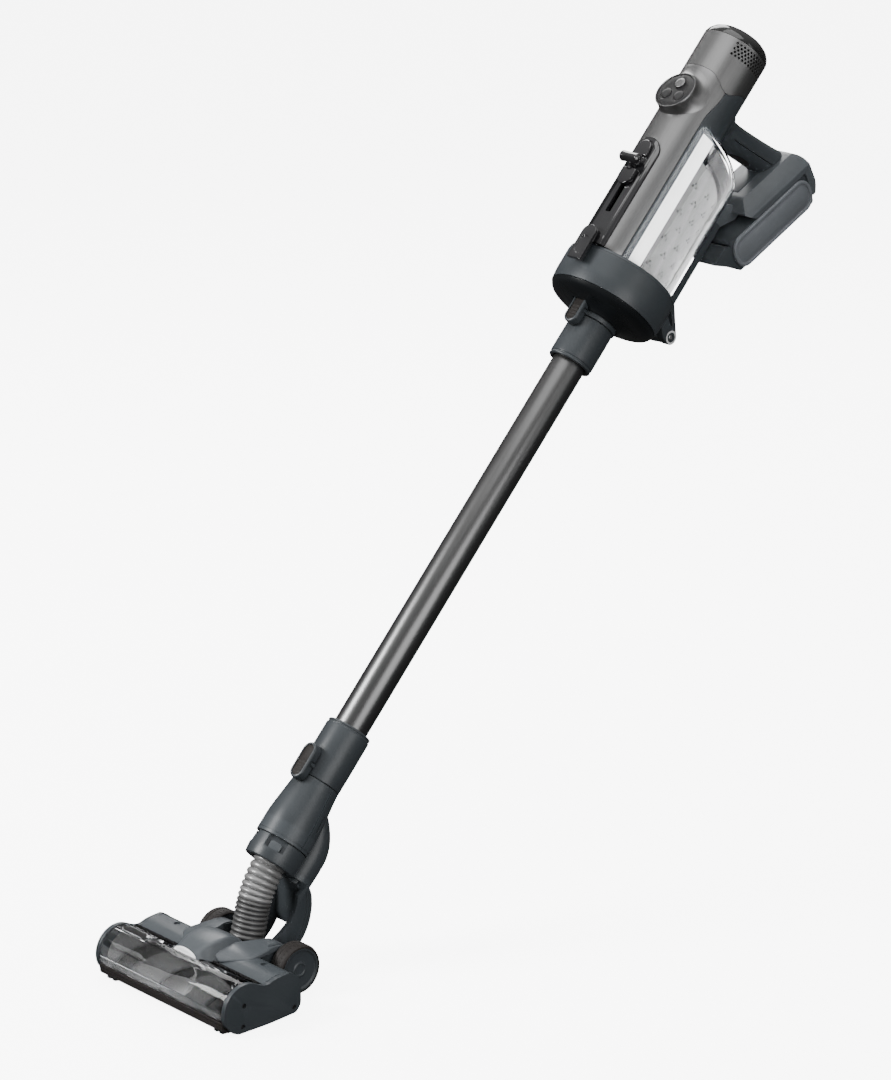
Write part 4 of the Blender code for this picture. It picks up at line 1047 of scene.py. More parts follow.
def build_lid():
    """The bezel with its hinge ears, the nose in near-black painted shade, the seal, and the collar
    for the wand.
    """
    skin = [(57.4, LID_TOP, 0.6), (59.1, LID_TOP, 1.4), (60.0, 832.0, 1.4), (60.0, 808.0, 3.0),
            (58.9, 797.3, 0.5), (54.7, 797.3, 0.4), (54.7, 829.5, 0.5), (51.7, 832.5, 0.5),
            (51.7, LID_TOP, 0.5)]
    groove = lathe(band(61.0, 59.3, 833.2, 832.3), sides=160)
    ear = [(57.5, 831.0), (57.5, 812.0), (84.0, HINGE[1] - 6.4)]
    ear += arc(*HINGE, 7.4, -110, 90, 20) + [(84.0, 829.4)]
    rib = [prism([(57.0, 829.0), (63.5, 829.0), (60.5, 799.0), (57.0, 799.0)], x - 0.9, x + 0.9)
           for x in (-14.0, 14.0)]
    piece("lid_bezel_skin", lathe(fillet(skin, 1.0, 5), sides=160), "lid", "slate", "lid_bezel",
          unions=(prism(ear, -4.9, 4.9), *rib),
          cuts=(rod(2.8, -7.0, 7.0, HINGE, 'X', 32), groove))
    bowl = [(58.3, 796.6, 0.3), (55.6, 792.2, 3.0), (49.6, 789.4, 6.0), (38.0, 787.0, 6.0),
            (28.6, 783.4, 1.5), (26.6, 780.6, 0.6), (24.9, 780.6, 0.4), (24.9, 784.8, 1.0),
            (37.5, 789.4, 3.0), (48.8, 792.2, 3.0), (53.4, 794.4, 1.0), (54.0, 796.6, 0.2)]
    # the nose's near-black paint is painted shade for its underside
    piece("lid_nose_skin", lathe(fillet(bowl, 1.0, 6), sides=160), "lid", "nose", "lid_nose",
          cuts=(prism(stadium(-9.4, 9.4, 750.0, 797.6, 20), -35.2, -20.0, 'Y'),))
    seal = fillet(band(50.8, 47.7, 830.6, 835.8), 0.9, 5)
    piece("lid_seal_ring", lathe(seal, sides=128), "lid", "rubber", "lid_seal")
    collar = [(21.8, 811.8), (24.2, 807.8), (24.2, UPPER_SEAM + 0.5), (19.5, UPPER_SEAM + 0.5),
              (19.5, 811.8)]
    piece("inlet_collar_skin", lathe(fillet(collar, 0.5, 4), sides=128), "lid", "slate",
          "inlet_collar", unions=(fulcrum(778.0),))


def build_release(name, body, z_low, z_high, pivot_z, rib_z):
    """A release lever with rounded ends, a raised rim and a field of finger ribs."""
    sections = []
    for depth, inset in ((-24.8, 0.15), (-31.8, 0.1), (-32.9, 0.6), (-33.4, 1.6)):
        outline = stadium(-8.8 + inset, 8.8 - inset, z_low + inset, z_high - inset, 24)
        sections.append([(x, depth, z) for x, z in outline])
    field = prism(stadium(-6.2, 6.2, z_low + 2.8, z_high - 2.8, 20), -40.0, -31.9, 'Y')
    pocket = box(-9.6, 9.6, pivot_z - 2.6, pivot_z + 2.6)
    ribs = []
    for i in range(5):
        low = rib_z + 3.6 * i
        ribs.append(prism(rounded_box(-5.0, 5.0, low, low + 1.5, 0.7), -33.0, -31.8, 'Y'))
    piece(name + "_key", loft(sections), body, "slate", name,
          cuts=(field, prism(pocket, -29.4, -20.0, 'Y')), bevel=0.2, segments=2)
    pad = prism(stadium(-6.0, 6.0, z_low + 3.0, z_high - 3.0, 20), -32.4, -31.7, 'Y')
    piece(name + "_pad", pad, body, "brown", unions=ribs, bevel=0.2, segments=2)


def build_wand():
    """The metal tube and the cuff at each end of it."""
    bore = fillet(band(17.5, 16.3, 285.2, 756.8), 0.3, 2)
    piece("wand_tube_skin", lathe(bore, sides=128), "wand", "gunmetal", "wand_tube")
    top = [(19.1, 799.8, 0.5), (19.1, UPPER_SEAM, 0.2), (22.9, UPPER_SEAM, 0.8), (23.2, 745.0, 6.0),
           (23.1, 733.5, 0.8), (22.3, 732.6, 0.3), (22.3, 731.8, 0.3), (22.9, 731.0, 0.6),
           (22.6, 729.6, 0.8), (20.4, 729.0, 0.8), (17.9, 730.4, 0.2), (17.9, 757.2, 0.2),
           (16.0, 757.2, 0.2), (16.0, 799.8, 0.5)]
    piece("wand_top_cuff_skin", lathe(fillet(top, 0.5, 4), sides=128), "wand", "slate",
          "wand_top_cuff")
    low = [(20.2, 302.8, 0.6), (22.5, 302.4, 0.8), (23.0, 300.9, 0.6), (22.3, 300.0, 0.3),
           (22.3, 299.2, 0.3), (23.3, 298.2, 0.8), (23.5, 270.0, 6.0),
           (23.3, LOWER_SEAM + 0.4, 0.5), (20.4, LOWER_SEAM + 0.4, 0.2), (20.4, 282.0, 0.2),
           (16.3, 282.0, 0.2), (16.3, 284.7, 0.2), (17.9, 284.7, 0.2), (17.9, 301.4, 0.2)]
    piece("wand_lower_cuff_skin", lathe(fillet(low, 0.5, 4), sides=128), "wand", "slate",
          "wand_lower_cuff", unions=(fulcrum(250.0),))


# ---- neck, hose and yoke -----------------------------------------------------------------------
def build_neck():
    """The neck with the lobe that holds the steering pin, and the collar round the hose."""
    skin = [(20.1, 280.8, 0.5), (20.1, LOWER_SEAM - 0.2, 0.1), (23.2, LOWER_SEAM - 0.2, 0.5),
            (23.9, 232.0, 8.0), (26.4, 211.0, 12.0), (28.0, 196.0, 12.0),
            (28.1, NECK_EDGE + 0.2, 0.7), (24.8, NECK_EDGE + 0.2, 0.4), (24.8, 200.0, 2.0),
            (21.0, 222.0, 3.0), (18.2, 240.0, 2.0), (18.2, 280.8, 0.4)]
    lobe = []
    for height, radius, y in smooth_sections([(152.6, 16.1, LOBE_Y), (170.0, 16.5, LOBE_Y),
                                              (186.0, 16.5, LOBE_Y - 1.0),
                                              (200.0, 15.4, LOBE_Y - 6.0),
                                              (213.0, 12.6, LOBE_Y - 14.0),
                                              (224.0, 8.0, LOBE_Y - 22.0)], 5):
        lobe.append([(x, across, height) for x, across in ellipse(0, y, radius, radius, 64)])
    slots = []
    for side in (-1, 1):
        # the line along each flank where the neck's two halves meet, and a short slot beside it
        slots.append(prism(box(-0.3, 0.3, 174.5, 238.0), *mirrored(side, 22.6, 30.0)))
        slots.append(prism(rounded_box(7.0, 9.4, 197.0, 214.0, 1.1), *mirrored(side, 24.4, 30.0)))
    groove = lathe(band(30.0, 27.5, NECK_EDGE + 4.0, NECK_EDGE + 3.3), sides=128)
    piece("neck_shell_skin", lathe(fillet(skin, 0.5, 5), sides=128), "neck", "slate",
          "neck_shell", unions=(loft(lobe),),
          cuts=(rod(27.95, 140.0, NECK_EDGE, sides=128), rod(24.6, 172.0, 201.0, sides=96),
                rod(17.9, 200.0, 240.0, sides=96), rod(12.5, 140.0, 186.4, (0, LOBE_Y), sides=64),
                rod(4.3, 180.0, 196.0, (0, LOBE_Y)), groove, *slots),
          bevel=0.4, segments=2, sharp=38)
    ring = [(24.2, 185.8, 0.3), (24.2, NECK_EDGE - 0.4, 0.3), (27.5, NECK_EDGE - 0.4, 0.4),
            (27.4, 156.0, 4.0), (26.6, 149.2, 1.2), (18.4, 149.2, 0.4), (18.4, 185.8, 0.4)]
    # each side of the collar has an opening with a small tab in it
    turns = {side: turned(-90 + side * 38, 'Z') for side in (-1, 1)}
    cuts = [moved(prism(rounded_box(-10.0, 10.0, 160.5, 178.0, 2.6), 23.4, 32.0), turn)
            for turn in turns.values()]
    piece("neck_collar_skin", lathe(fillet(ring, 0.5, 5), sides=128), "neck", "slate",
          "neck_collar", cuts=cuts, bevel=0.35, segments=2, sharp=38)
    for side, turn in turns.items():
        tab = prism(rounded_box(-6.0, 6.0, 160.0, 168.2, 2.4), 23.2, 26.2)
        piece(handed("collar_tab", side), moved(tab, turn), "neck", "slate_light", bevel=0.3,
              segments=2)
    piece("steering_pin_body", rod(3.95, 158.2, 195.3, (0, LOBE_Y)), "neck", "steel",
          "steering_pin", bevel=0.4)


def to_world(y, z):
    """Wand y, z to head y, z, in millimetres."""
    return (FOOT_Y + y * math.cos(LEAN) + z * math.sin(LEAN),
            -y * math.sin(LEAN) + z * math.cos(LEAN))


def hose_path(t):
    """Centre and direction of the hose, from the neck collar (0) to the head's socket (1)."""
    start = Vector((0, *to_world(0.0, 163.0)))
    end = Vector((0, 91.0, 35.0))
    pull_start = Vector((0, -math.sin(LEAN), -math.cos(LEAN))) * 48.0
    pull_end = Vector((0, 0.30, 0.95)) * 40.0
    a, b, c, d = (1 - t) ** 3, 3 * t * (1 - t) ** 2, 3 * t * t * (1 - t), t ** 3
    centre = a * start + b * (start + pull_start) + c * (end + pull_end) + d * end
    slope = ((1 - t) ** 2 * pull_start + 2 * t * (1 - t) * (end + pull_end - start - pull_start)
             - t * t * pull_end)
    return centre, slope.normalized()


def hose_part(name, start, end, ribs, paint):
    """A ribbed stretch of the hose, open at both ends."""
    rings = []
    per_rib = 12
    count = ribs * per_rib
    for valley, crest, order in ((15.1, 2.0, range(count + 1)),
                                 (14.6, 1.4, range(count, -1, -1))):
        for i in order:
            centre, along = hose_path(start + (end - start) * i / count)
            up = along.cross(Vector((1, 0, 0)))
            wave = (0.5 - 0.5 * math.cos(2 * math.pi * i / per_rib)) ** 0.4
            rings.append([tuple(centre + Vector((x, 0, 0)) + up * y) for x, y in
                          ellipse(0, 0, valley + crest * wave, valley + crest * wave, 72)])
    obj = raw_object(name, ring_loft(rings), HEAD)
    obj.data.materials.append(paints[paint])
    obj.data.shade_smooth()
    return obj


def build_hose():
    """Two stretches that meet at a rib, baked in place on no body, in place of the hose."""
    top = hose_part("hose_upper", 0.0, 0.5, 8, "hose")
    # the lower stretch takes the darker copy of the hose paint: painted shade where it runs down
    # into the head
    low = hose_part("hose_lower", 0.5, 1.0, 9, "hose_painted_shade")
    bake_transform(top)
    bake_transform(low)
    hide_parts("hose")


def build_yoke():
    """The bent arm between neck and wheels; its throat is open to the back for the hose."""
    back = [(150.0, 88.0, 1.5), (154.6, 79.0, 6.0), (155.2, 64.0, 10.0), (151.6, 49.0, 10.0),
            (144.2, 35.6, 10.0), (133.0, 24.3, 10.0), (119.0, 15.8, 4.0)]
    inner = [(103.5, 40.0, 2.0), (116.0, 47.2, 6.0), (127.0, 55.2, 6.0), (134.6, 66.0, 6.0),
             (137.8, 80.0, 2.0)]
    outline = (fillet(back, 6.0, 6, False) + arc(*AXLE, 11.2, -50, -220, 24)
               + fillet(inner, 5.0, 6, False))
    throat = [(60.0, 0.0), (160.0, 0.0), (160.0, 30.0), (145.0, 42.0), (143.0, 52.0),
              (144.5, 62.0), (145.0, 76.0), (141.0, 110.0), (60.0, 110.0)]
    cuts = [prism(throat, -19.6, 19.6)]
    hub = lathe([(0, 185.6), (11.8, 185.6), (11.8, 147.0), (9.8, 141.2), (0, 141.2)],
                (0, LOBE_Y), sides=64)
    bore = rod(4.3, 157.0, 190.0, (0, LOBE_Y))
    turn = Matrix.Translation((0, FOOT_Y, 0)) @ Matrix.Rotation(-LEAN, 4, 'X')
    root = [to_world(y, z) for y, z in ((29.5, 148.0), (52.5, 148.0), (60.0, 132.0),
                                        (48.0, 120.0), (33.0, 130.0))]
    for side in (-1, 1):
        cuts.append(rod(4.3, *mirrored(side, 15.0, 30.0), AXLE, 'X', 32))
        # two fine grooves along the back of each flank
        for inset in (3.4, 6.6):
            line = [(y - inset, z + inset * 0.25) for y, z, _ in back[1:6]]
            reverse = [(y - 0.8, z + 0.2) for y, z in reversed(line)]
            cuts.append(prism(fillet(line + reverse, 8.0, 3), *mirrored(side, 23.9, 30.0)))
    piece("yoke_arm_skin", prism(outline, -24.4, 24.4), "yoke", "slate", "yoke_arm", space=HEAD,
          unions=(moved(hub, turn), prism(root, -15.8, 15.8)), cuts=[*cuts, moved(bore, turn)],
          bevel=0.8, segments=3, sharp=36)


# ---- floor head --------------------------------------------------------------------------------
BELT_SLOT = box(30.0, 40.0, 12.8, 34.8)       # opening for the belt, head y and z


def screw_head(radius, depth, place, name):
    """A countersunk screw with a cross recess, sunk in its hole."""
    disc = lathe([(0, depth - 0.2), (radius * 0.6, depth), (radius, depth - 0.5),
                  (radius, depth - 1.6), (0, depth - 1.6)], sides=32)
    arms = [prism(rounded_box(-u, u, -v, v, 0.2, 2), depth - 0.8, depth + 1.0, 'Z')
            for u, v in ((radius * 0.62, 0.28), (0.28, radius * 0.62))]
    piece(name, moved(disc, place), "head", "steel_dark", space=HEAD,
          cuts=[moved(arm, place) for arm in arms])


def build_end_caps():
    """The side plates of the head, each with three sunk screws."""
    plan = [(2.0, 1.0, 2.5), (-6.0, 4.6, 3.0)] + rounding(*BRUSH, 25.75, 205, 62, 40, 1.0)
    plan += [(35.5, 40.3, 8.0), (48.5, 44.6, 6.0)] + rounding(60.0, 28.0, 18.0, 78, 0, 16, 1.0)
    plan += [(78.0, 10.0, 5.0), (72.0, 3.0, 3.0), (40.0, 1.0, 10.0)]
    outline = fillet(plan, 1.0, 4)
    for side in (-1, 1):
        name = handed("end_cap", side)
        holes = [rod(4.4, *mirrored(side, 90.0, 96.5), BRUSH, 'X', 48)]
        holes += [rod(2.5, *mirrored(side, 96.4, 102.0), spot, 'X', 32) for spot in SCREWS]
        piece(name + "_skin", prism(outline, *mirrored(side, 94.0, 98.9)), "head", "slate",
              name, space=HEAD, cuts=holes, bevel=1.5, segments=5, sharp=50)
        for number, spot in enumerate(SCREWS):
            place = Matrix.Translation((side * 96.4, *spot)) @ turned(90 * side, 'Y')
            screw_head(2.2, 1.3, place, f"{name}_screw_{number}")


def build_base():
    """The floor of the head with its ribs, and the struts that carry the wheels."""
    plan = [(34.0, 3.0, 0.6), (34.0, 22.0, 0.4), (36.0, 22.0, 0.4), (36.0, 6.0, 1.5),
            (74.0, 6.0, 1.5), (74.0, 24.0, 0.3), (76.0, 24.0, 0.3), (76.2, 8.0, 3.0),
            (72.0, 3.0, 3.0)]
    strut = fillet([(72.0, 3.4, 1.0), (72.0, 23.6, 0.5), (75.0, 24.0, 0.5), (75.0, 46.0, 1.0),
                    (86.0, 49.5, 8.0), (98.0, 48.0, 8.0)], 2.0, 6, False)
    strut += arc(*AXLE, 15.0, 75, -60, 28) + [(92.0, 8.0)]
    shapes = []
    cuts = []
    for side in (-1, 1):
        shapes.append(prism(strut, *mirrored(side, 26.2, 44.3)))
        shapes.append(rod(3.9, *mirrored(side, 19.8, 30.0), AXLE, 'X', 40))
        cuts.append(rod(3.4, *mirrored(side, 36.0, 50.0), AXLE, 'X', 40))
    for i in range(7):
        x = -84.0 + 28.0 * i
        shapes.append(prism(box(37.0, 73.0, 6.5, 5.4), x, x + 1.4))
    cuts.append(prism(BELT_SLOT, -92.2, -84.0))
    piece("head_base_skin", prism(fillet(plan, 0.5, 5), -HEAD_X, HEAD_X), "head", "slate",
          "head_base", space=HEAD, unions=shapes, cuts=cuts, bevel=0.9, segments=4, sharp=36)


def build_cover():
    """The head's top shell, open for the hose, the wheels' struts and the belt."""
    skin = [(34.2, 22.6, 0.3), (34.2, 38.6, 1.2), (37.6, 41.2, 3.0), (50.0, 45.2, 6.0)]
    skin += rounding(60.0, 28.0, 17.5, 78, 0, 24, 0.5) + [(77.5, 24.5, 0.3)]
    inside = [(75.5, 24.5, 0.3)] + rounding(60.0, 28.0, 15.5, 0, 78, 24, 0.5)
    inside += [(50.6, 43.0, 5.0), (38.4, 39.0, 2.0), (36.2, 37.8, 1.0), (36.2, 22.6, 0.3)]
    cuts = [prism(BELT_SLOT, -92.2, -84.0), prism(box(-27.0, 27.0, 30.0, 79.0), 24.0, 60.0, 'Z')]
    for low, high in ((-44.8, -25.7), (25.7, 44.8)):
        cuts.append(prism(box(74.7, 80.0, 20.0, 48.0), low, high))
    for side in (-1, 1):
        cuts.append(rod(3.4, 43.4, 60.0, (side * 66.0, 60.0), sides=40))
        cuts.append(rod(2.0, 30.0, 60.0, (side * 66.0, 60.0), sides=32))
    piece("head_cover_skin", prism(fillet(skin + inside, 0.5, 4), -HEAD_X, HEAD_X), "head", "slate",
          "head_cover", space=HEAD, cuts=cuts, bevel=0.6, segments=3, sharp=40)
    for side in (-1, 1):
        screw_head(1.9, 0.0, Matrix.Translation((side * 66.0, 60.0, 43.6)),
                   handed("cover_screw", side))


def hood_section(y, foot, shoulder, top, low):
    """A cross-section of the hood: a low arch with soft shoulders."""
    plan = [(-foot, low, 0.3), (-shoulder, top - 1.6, 3.5), (0, top, 12.0),
            (shoulder, top - 1.6, 3.5), (foot, low, 0.3)]
    return [(x, y, z) for x, z in fillet(plan, 1.0, 6)]


def build_duct():
    """The hood over the hose's socket, the arms out to the wheels, and the headlight."""
    keys = [(17.7, 18.6, 13.0, 51.6, 46.3), (22.0, 21.0, 14.0, 54.0, 46.3),
            (34.0, 25.2, 17.5, 58.8, 41.0), (50.0, 25.6, 18.6, 60.8, 41.0),
            (62.0, 24.2, 17.8, 58.6, 41.0), (74.0, 21.6, 16.0, 51.5, 41.0)]
    sections = [hood_section(*row) for row in smooth_sections(keys, 6)]
    passage = [hood_section(31.4, 22.0, 15.0, 54.8, 20.0),
               hood_section(52.0, 22.0, 15.6, 57.6, 20.0),
               hood_section(80.0, 18.6, 12.5, 48.2, 20.0)]
    arm = [(36.0, 18.0, 29.0, 50.0, 44.2), (46.0, 18.0, 40.0, 52.0, 45.4),
           (57.0, 18.0, 49.6, 52.6, 46.6), (75.0, 22.5, 48.8, 51.0, 47.6),
           (88.0, 26.8, 46.0, 50.4, 48.6), (99.0, 27.4, 45.4, 48.2, 47.4),
           (108.0, 27.8, 44.6, 43.0, 42.4)]
    for side in (-1, 1):
        rows = []
        for y, near, far, z_near, z_far in smooth_sections(arm, 5):
            floor = min(43.2, z_far - 2.0) if y < 80 else z_far - 6.0
            rows.append([(side * x, y, z) for x, z in
                         ((near, floor), (far, floor), (far, z_far - 1.2), (far - 1.6, z_far),
                          (near, z_near))])
        piece(handed("pivot_arm", side), loft(rows), "head", "slate_light", space=HEAD, bevel=0.5,
              segments=3, sharp=24)
    piece("duct_cover_skin", loft(sections), "head", "slate_light", "duct_cover", space=HEAD,
          cuts=(loft(passage),), bevel=0.5, segments=3, sharp=50)
    rings = []
    for y, scale in ((17.6, 1.0), (16.6, 0.985), (15.95, 0.93), (15.6, 0.8), (15.45, 0.5)):
        rings.append([(x * scale, y, 46.3 + 0.43 * z * scale + 0.6 * (1 - scale))
                      for x, z in arc(0, 0, 16.4, 0, 180, 40)])
    piece("headlight_lens", loft(rings), "head", "lamp", "headlight", space=HEAD)


def window_band(outside, inside, start, end, steps):
    """A band on the window's arc, outside and inside being measured from its radius."""
    return (arc(*BRUSH, WINDOW_R + outside, start, end, steps)
            + arc(*BRUSH, WINDOW_R + inside, end, start, steps))


def capsule(x0, x1, y0, y1):
    """A slot outline in plan, with round ends at its two ends along x."""
    return [(x, y) for y, x in stadium(y0, y1, x0, x1, 20)]


def on_window(outline, offset):
    """A plan outline laid on the window's cylinder, or offset from it."""
    radius = WINDOW_R + offset
    return [(x, y, BRUSH[1] + math.sqrt(radius ** 2 - (y - BRUSH[0]) ** 2)) for x, y in outline]


def on_slope(outline, height):
    """A plan outline laid on the catch's top, which rises towards the back."""
    return [(x, y, height + 0.42 * (y - 5.0)) for x, y in outline]


def build_window():
    """The clear pane over the roller, the rails that stiffen it, and its sliding catch."""
    holes = [prism(box(-27.0, 27.0, 14.8, 40.0), 30.0, 60.0, 'Z'),
             prism(box(-92.2, -46.0, 5.0, 40.0), 30.0, 60.0, 'Z')]
    piece("brush_window_pane", prism(window_band(0.0, -1.7, 196, 34, 72), -93.3, 93.3), "window",
          "clear", "brush_window", space=HEAD, cuts=holes, bevel=0.3, segments=2)
    rail = prism(window_band(-0.05, -1.65, 192, 178, 10), -92.6, 92.6)
    piece("window_rail", rail, "window", "rail", space=HEAD, bevel=0.2)
    # a frame round the opening for the catch
    edges = [prism(window_band(0.3, -1.9, 103, 44, 20), low, high)
             for low, high in ((-92.1, -91.3), (-47.1, -46.1))]
    edges.append(prism(window_band(0.3, -1.9, 103.4, 100.6, 3), -92.1, -46.1))
    piece("window_frame", joined(*edges), "window", "rail", space=HEAD, bevel=0.2)

    ribs = [prism(window_band(0.4, -0.9, 76.8 - 4.4 * i, 75.2 - 4.4 * i, 3), -85.5, -49.0)
            for i in range(4)]
    slot = capsule(-84.5, -50.5, 7.0, 13.8)
    rim = capsule(-86.6, -48.4, 5.0, 15.6)
    piece("window_catch_key", prism(window_band(-0.5, -2.1, 100, 60, 26), -87.2, -47.2), "catch",
          "clear_catch", "window_catch", space=HEAD,
          unions=(loft([on_window(rim, -1.2), on_slope(rim, 47.9)]), *ribs),
          cuts=(loft([on_window(slot, -4.0), on_window(slot, 8.0)]),), bevel=0.2, segments=2)
    # a dark fill in the catch's slot: painted shade inside the opening
    fill = capsule(-84.3, -50.7, 7.2, 13.6)
    piece("window_catch_slot_shade", loft([on_window(fill, -2.0), on_slope(fill, 47.4)]), "catch",
          "bristle", space=HEAD, bevel=0.2, segments=2)


def build_bumper():
    """The soft front strip, two feet below it, and the gliding pile."""
    plan = [(-2.0, 3.2, 0.3), (-6.0, 3.2, 1.5), (-13.6, 6.2, 2.5), (-14.4, 15.4, 0.8)]
    plan += [(*p, 0.3) for p in arc(*BRUSH, PLUSH_R + 0.8, 201, 237, 16)]
    grooves = []
    for i in range(2):
        z = 8.6 + 2.6 * i
        grooves.append(prism(box(-20.0, -13.55, z, z + 0.5),
                             -93.0, 93.0))
    piece("bumper_strip_skin", prism(fillet(plan, 0.4, 4), -HEAD_X, HEAD_X), "head", "rubber",
          "bumper_strip", space=HEAD, cuts=grooves, bevel=0.3, segments=2)
    for name, x in (("front_foot_left", -82.0), ("front_foot_right", 82.0)):
        foot = fillet([(-9.6, 4.4, 0.3), (-9.6, 1.2, 1.0), (-5.4, 0.5, 1.0), (-3.6, 0.5, 0.5),
                       (-3.6, 4.0, 0.3)], 0.5, 4)
        notch = prism(box(-12.0, -7.2, 0.0, 2.6), x - 2.0, x + 2.0)
        piece(name, prism(foot, x - 6.0, x + 6.0), "head", "bristle", space=HEAD, cuts=(notch,),
              bevel=0.5, segments=3)
    glide = rounded_box(36.1, 45.9, 0.0, 2.7, 0.6, 3)
    ribs = [prism(box(30.0, 50.0, -1.0, 0.5), x, x + 1.2)
            for x in (-60.0, -30.0, 0.0, 30.0, 60.0)]
    piece("glide_strip_pile", prism(glide, -79.9, 79.9), "head", "bristle", "glide_strip",
          space=HEAD, cuts=ribs)


def build_brush():
    """A plush roller with a spiral of paler pile, and two spiral rows of stiff bristles."""
    bm = bmesh.new()
    columns, rows = 260, 220
    rng = np.random.default_rng(7)
    pile = rng.random((columns + 1, rows))
    grid = []
    for i in range(columns + 1):
        x = -83.0 + 174.0 * i / columns
        ring = []
        for j in range(rows):
            turn = (x / PLUSH_PITCH + j / rows) * 2 % 1
            step = 0.55 * (smoothstep(0.30, 0.36, turn) - smoothstep(0.90, 0.97, turn))
            angle = 2 * math.pi * j / rows
            radius = PLUSH_R - 0.9 + step + 0.45 * (pile[i, j] - 0.5)
            ring.append(bm.verts.new((x, BRUSH[0] + radius * math.cos(angle),
                                      BRUSH[1] + radius * math.sin(angle))))
        grid.append(ring)
    for i in range(columns):
        for j in range(rows):
            k = (j + 1) % rows
            bm.faces.new((grid[i][j], grid[i + 1][j], grid[i + 1][k], grid[i][k]))
    core = [[bm.verts.new((x, y, z)) for y, z in ellipse(*BRUSH, 13.4, 13.4, rows)]
            for x in (-83.0, 91.0)]
    bridge(bm, [grid[0], *core, grid[-1]])
    piece("plush_sleeve_pile", bm, "brush", "plush", "plush_sleeve", space=HEAD)
    tufts = bmesh.new()
    for start in (0.0, 0.5):
        for i in range(360):
            x = -81.0 + 170.0 * i / 360
            turn = (2 * math.pi * (start - 0.005 - x / PLUSH_PITCH)
                    + 0.03 * (rng.random() - 0.5))
            top = PLUSH_R + 0.1 + 0.2 * rng.random()
            along = Vector((0, math.cos(turn), math.sin(turn)))
            side = Vector((0, -math.sin(turn), math.cos(turn))) * 0.5
            width = Vector((0.17, 0, 0))
            lean = Vector((0.5 * (rng.random() - 0.5), 0, 0))
            middle = Vector((x, *BRUSH))
            solid_bar(tufts, middle + along * (PLUSH_R - 1.6), middle + along * top + lean,
                      (width, side), (width * 0.6, side * 0.6))
    piece("roller_bristles", tufts, "brush", "bristle", space=HEAD)
    core = [(0, 96.0, 0.2), (3.9, 96.0, 0.5), (3.9, 93.0, 0.3), (12.9, 92.4, 0.6),
            (12.9, -84.0, 0.4), (9.0, -84.2, 0.3), (9.0, -91.0, 0.3), (3.9, -91.2, 0.3),
            (3.9, -96.0, 0.5), (0, -96.0, 0.2)]
    piece("brush_core_body", lathe(fillet(core, 0.3, 4, False), BRUSH, 'X', 96), "brush", "gloss",
          "brush_core", space=HEAD)


def build_bristle_strip():
    """Stiff bristles that close the gap between the roller and the cover."""
    strip = bmesh.new()
    rng = np.random.default_rng(11)
    width, deep = Vector((0.22, 0, 0)), Vector((0, 1.0, 1.3))
    for low, high in ((-93.0, -27.5), (27.5, 93.0)):
        count = int((high - low) / 0.36)
        for i in range(count):
            x = low + (high - low) * (i + 0.5) / count
            bend = rng.random()
            solid_bar(strip, Vector((x, 35.9, 38.4)),
                      Vector((x + bend - 0.5, 28.4 + bend, 44.2 + bend)), (width, deep),
                      (width * 0.5, deep * 0.4))
    piece("cover_bristles", strip, "head", "bristle", space=HEAD)


def build_wheels():
    """Each wheel is a tyre with notched shoulders, and a hub with its axle stub."""
    tyre = fillet([(21.6, 65.3, 0.4), (23.4, 65.3, 0.9), (24.9, 62.4, 1.6), (25.0, 58.4, 0.3),
                   (24.4, 57.9, 0.3), (24.4, 54.1, 0.3), (25.0, 53.6, 0.3), (24.9, 49.6, 1.6),
                   (23.0, 46.7, 1.2), (21.6, 46.7, 0.4)], 0.5, 5)
    hub = fillet([(0, 63.4, 0.3), (5.2, 63.4, 0.6), (6.4, 64.4, 0.8), (8.0, 63.2, 0.8),
                  (18.6, 63.8, 1.5), (19.6, 65.0, 0.8), (21.6, 65.1, 0.4), (21.6, 46.8, 0.5),
                  (3.0, 46.8, 0.3), (3.0, 36.8, 0.3), (0, 36.8, 0.2)], 0.5, 5, False)
    notch = rounded_box(-0.45, 0.45, 24.55, 27.0, 0.2, 2)
    for side, body in ((-1, "left_wheel"), (1, "right_wheel")):
        name = handed("wheel", side)
        notches = [moved(prism(notch, *mirrored(side, low, high)),
                         Matrix.Translation((0, *AXLE)) @ turned(10.0 * i, 'X'))
                   for i in range(36) for low, high in ((46.0, 52.4), (59.6, 66.0))]
        piece(name + "_tyre", lathe([(radius, side * x) for radius, x in tyre], AXLE, 'X', 160),
              body, "rubber", name, space=HEAD, cuts=(joined(*notches),))
        piece(name + "_hub", lathe([(radius, side * x) for radius, x in hub], AXLE, 'X', 128),
              body, "slate", space=HEAD)


def build_drive():
    """Inside the head: the roller's motor, its toothed pulley and the belt."""
    motor = (54.0, 24.0)
    can = fillet([(0, -80.0, 0.2), (11.4, -80.0, 1.5), (11.4, -32.2, 1.5), (0, -32.2, 0.2)], 1.0,
                 4, False)
    piece("brush_motor_can", lathe(can, motor, 'X', 64), "head", "steel", "brush_motor",
          space=HEAD)
    teeth = [moved(prism(rounded_box(-0.6, 0.6, 4.3, 6.0, 0.3, 2), -92.0, -84.0),
                   Matrix.Translation((0, *motor)) @ turned(30.0 * i, 'X')) for i in range(12)]
    piece("motor_pulley_teeth", rod(4.95, -91.4, -82.1, motor, 'X'), "pulley", "steel",
          "motor_pulley", space=HEAD, cuts=teeth)
    outer, inner = (arc(*BRUSH, brush_radius, 93, 267, 40) + arc(*motor, radius, -87, 87, 24)
                    for brush_radius, radius in ((11.1, 7.1), (9.5, 5.5)))
    rings = [[(x, y, z) for y, z in outline] for outline, x in
             ((outer, -90.5), (outer, -85.5), (inner, -85.5), (inner, -90.5))]
    piece("drive_belt_loop", ring_loft(rings), "head", "rubber", "drive_belt", space=HEAD,
          bevel=0.2, segments=1)


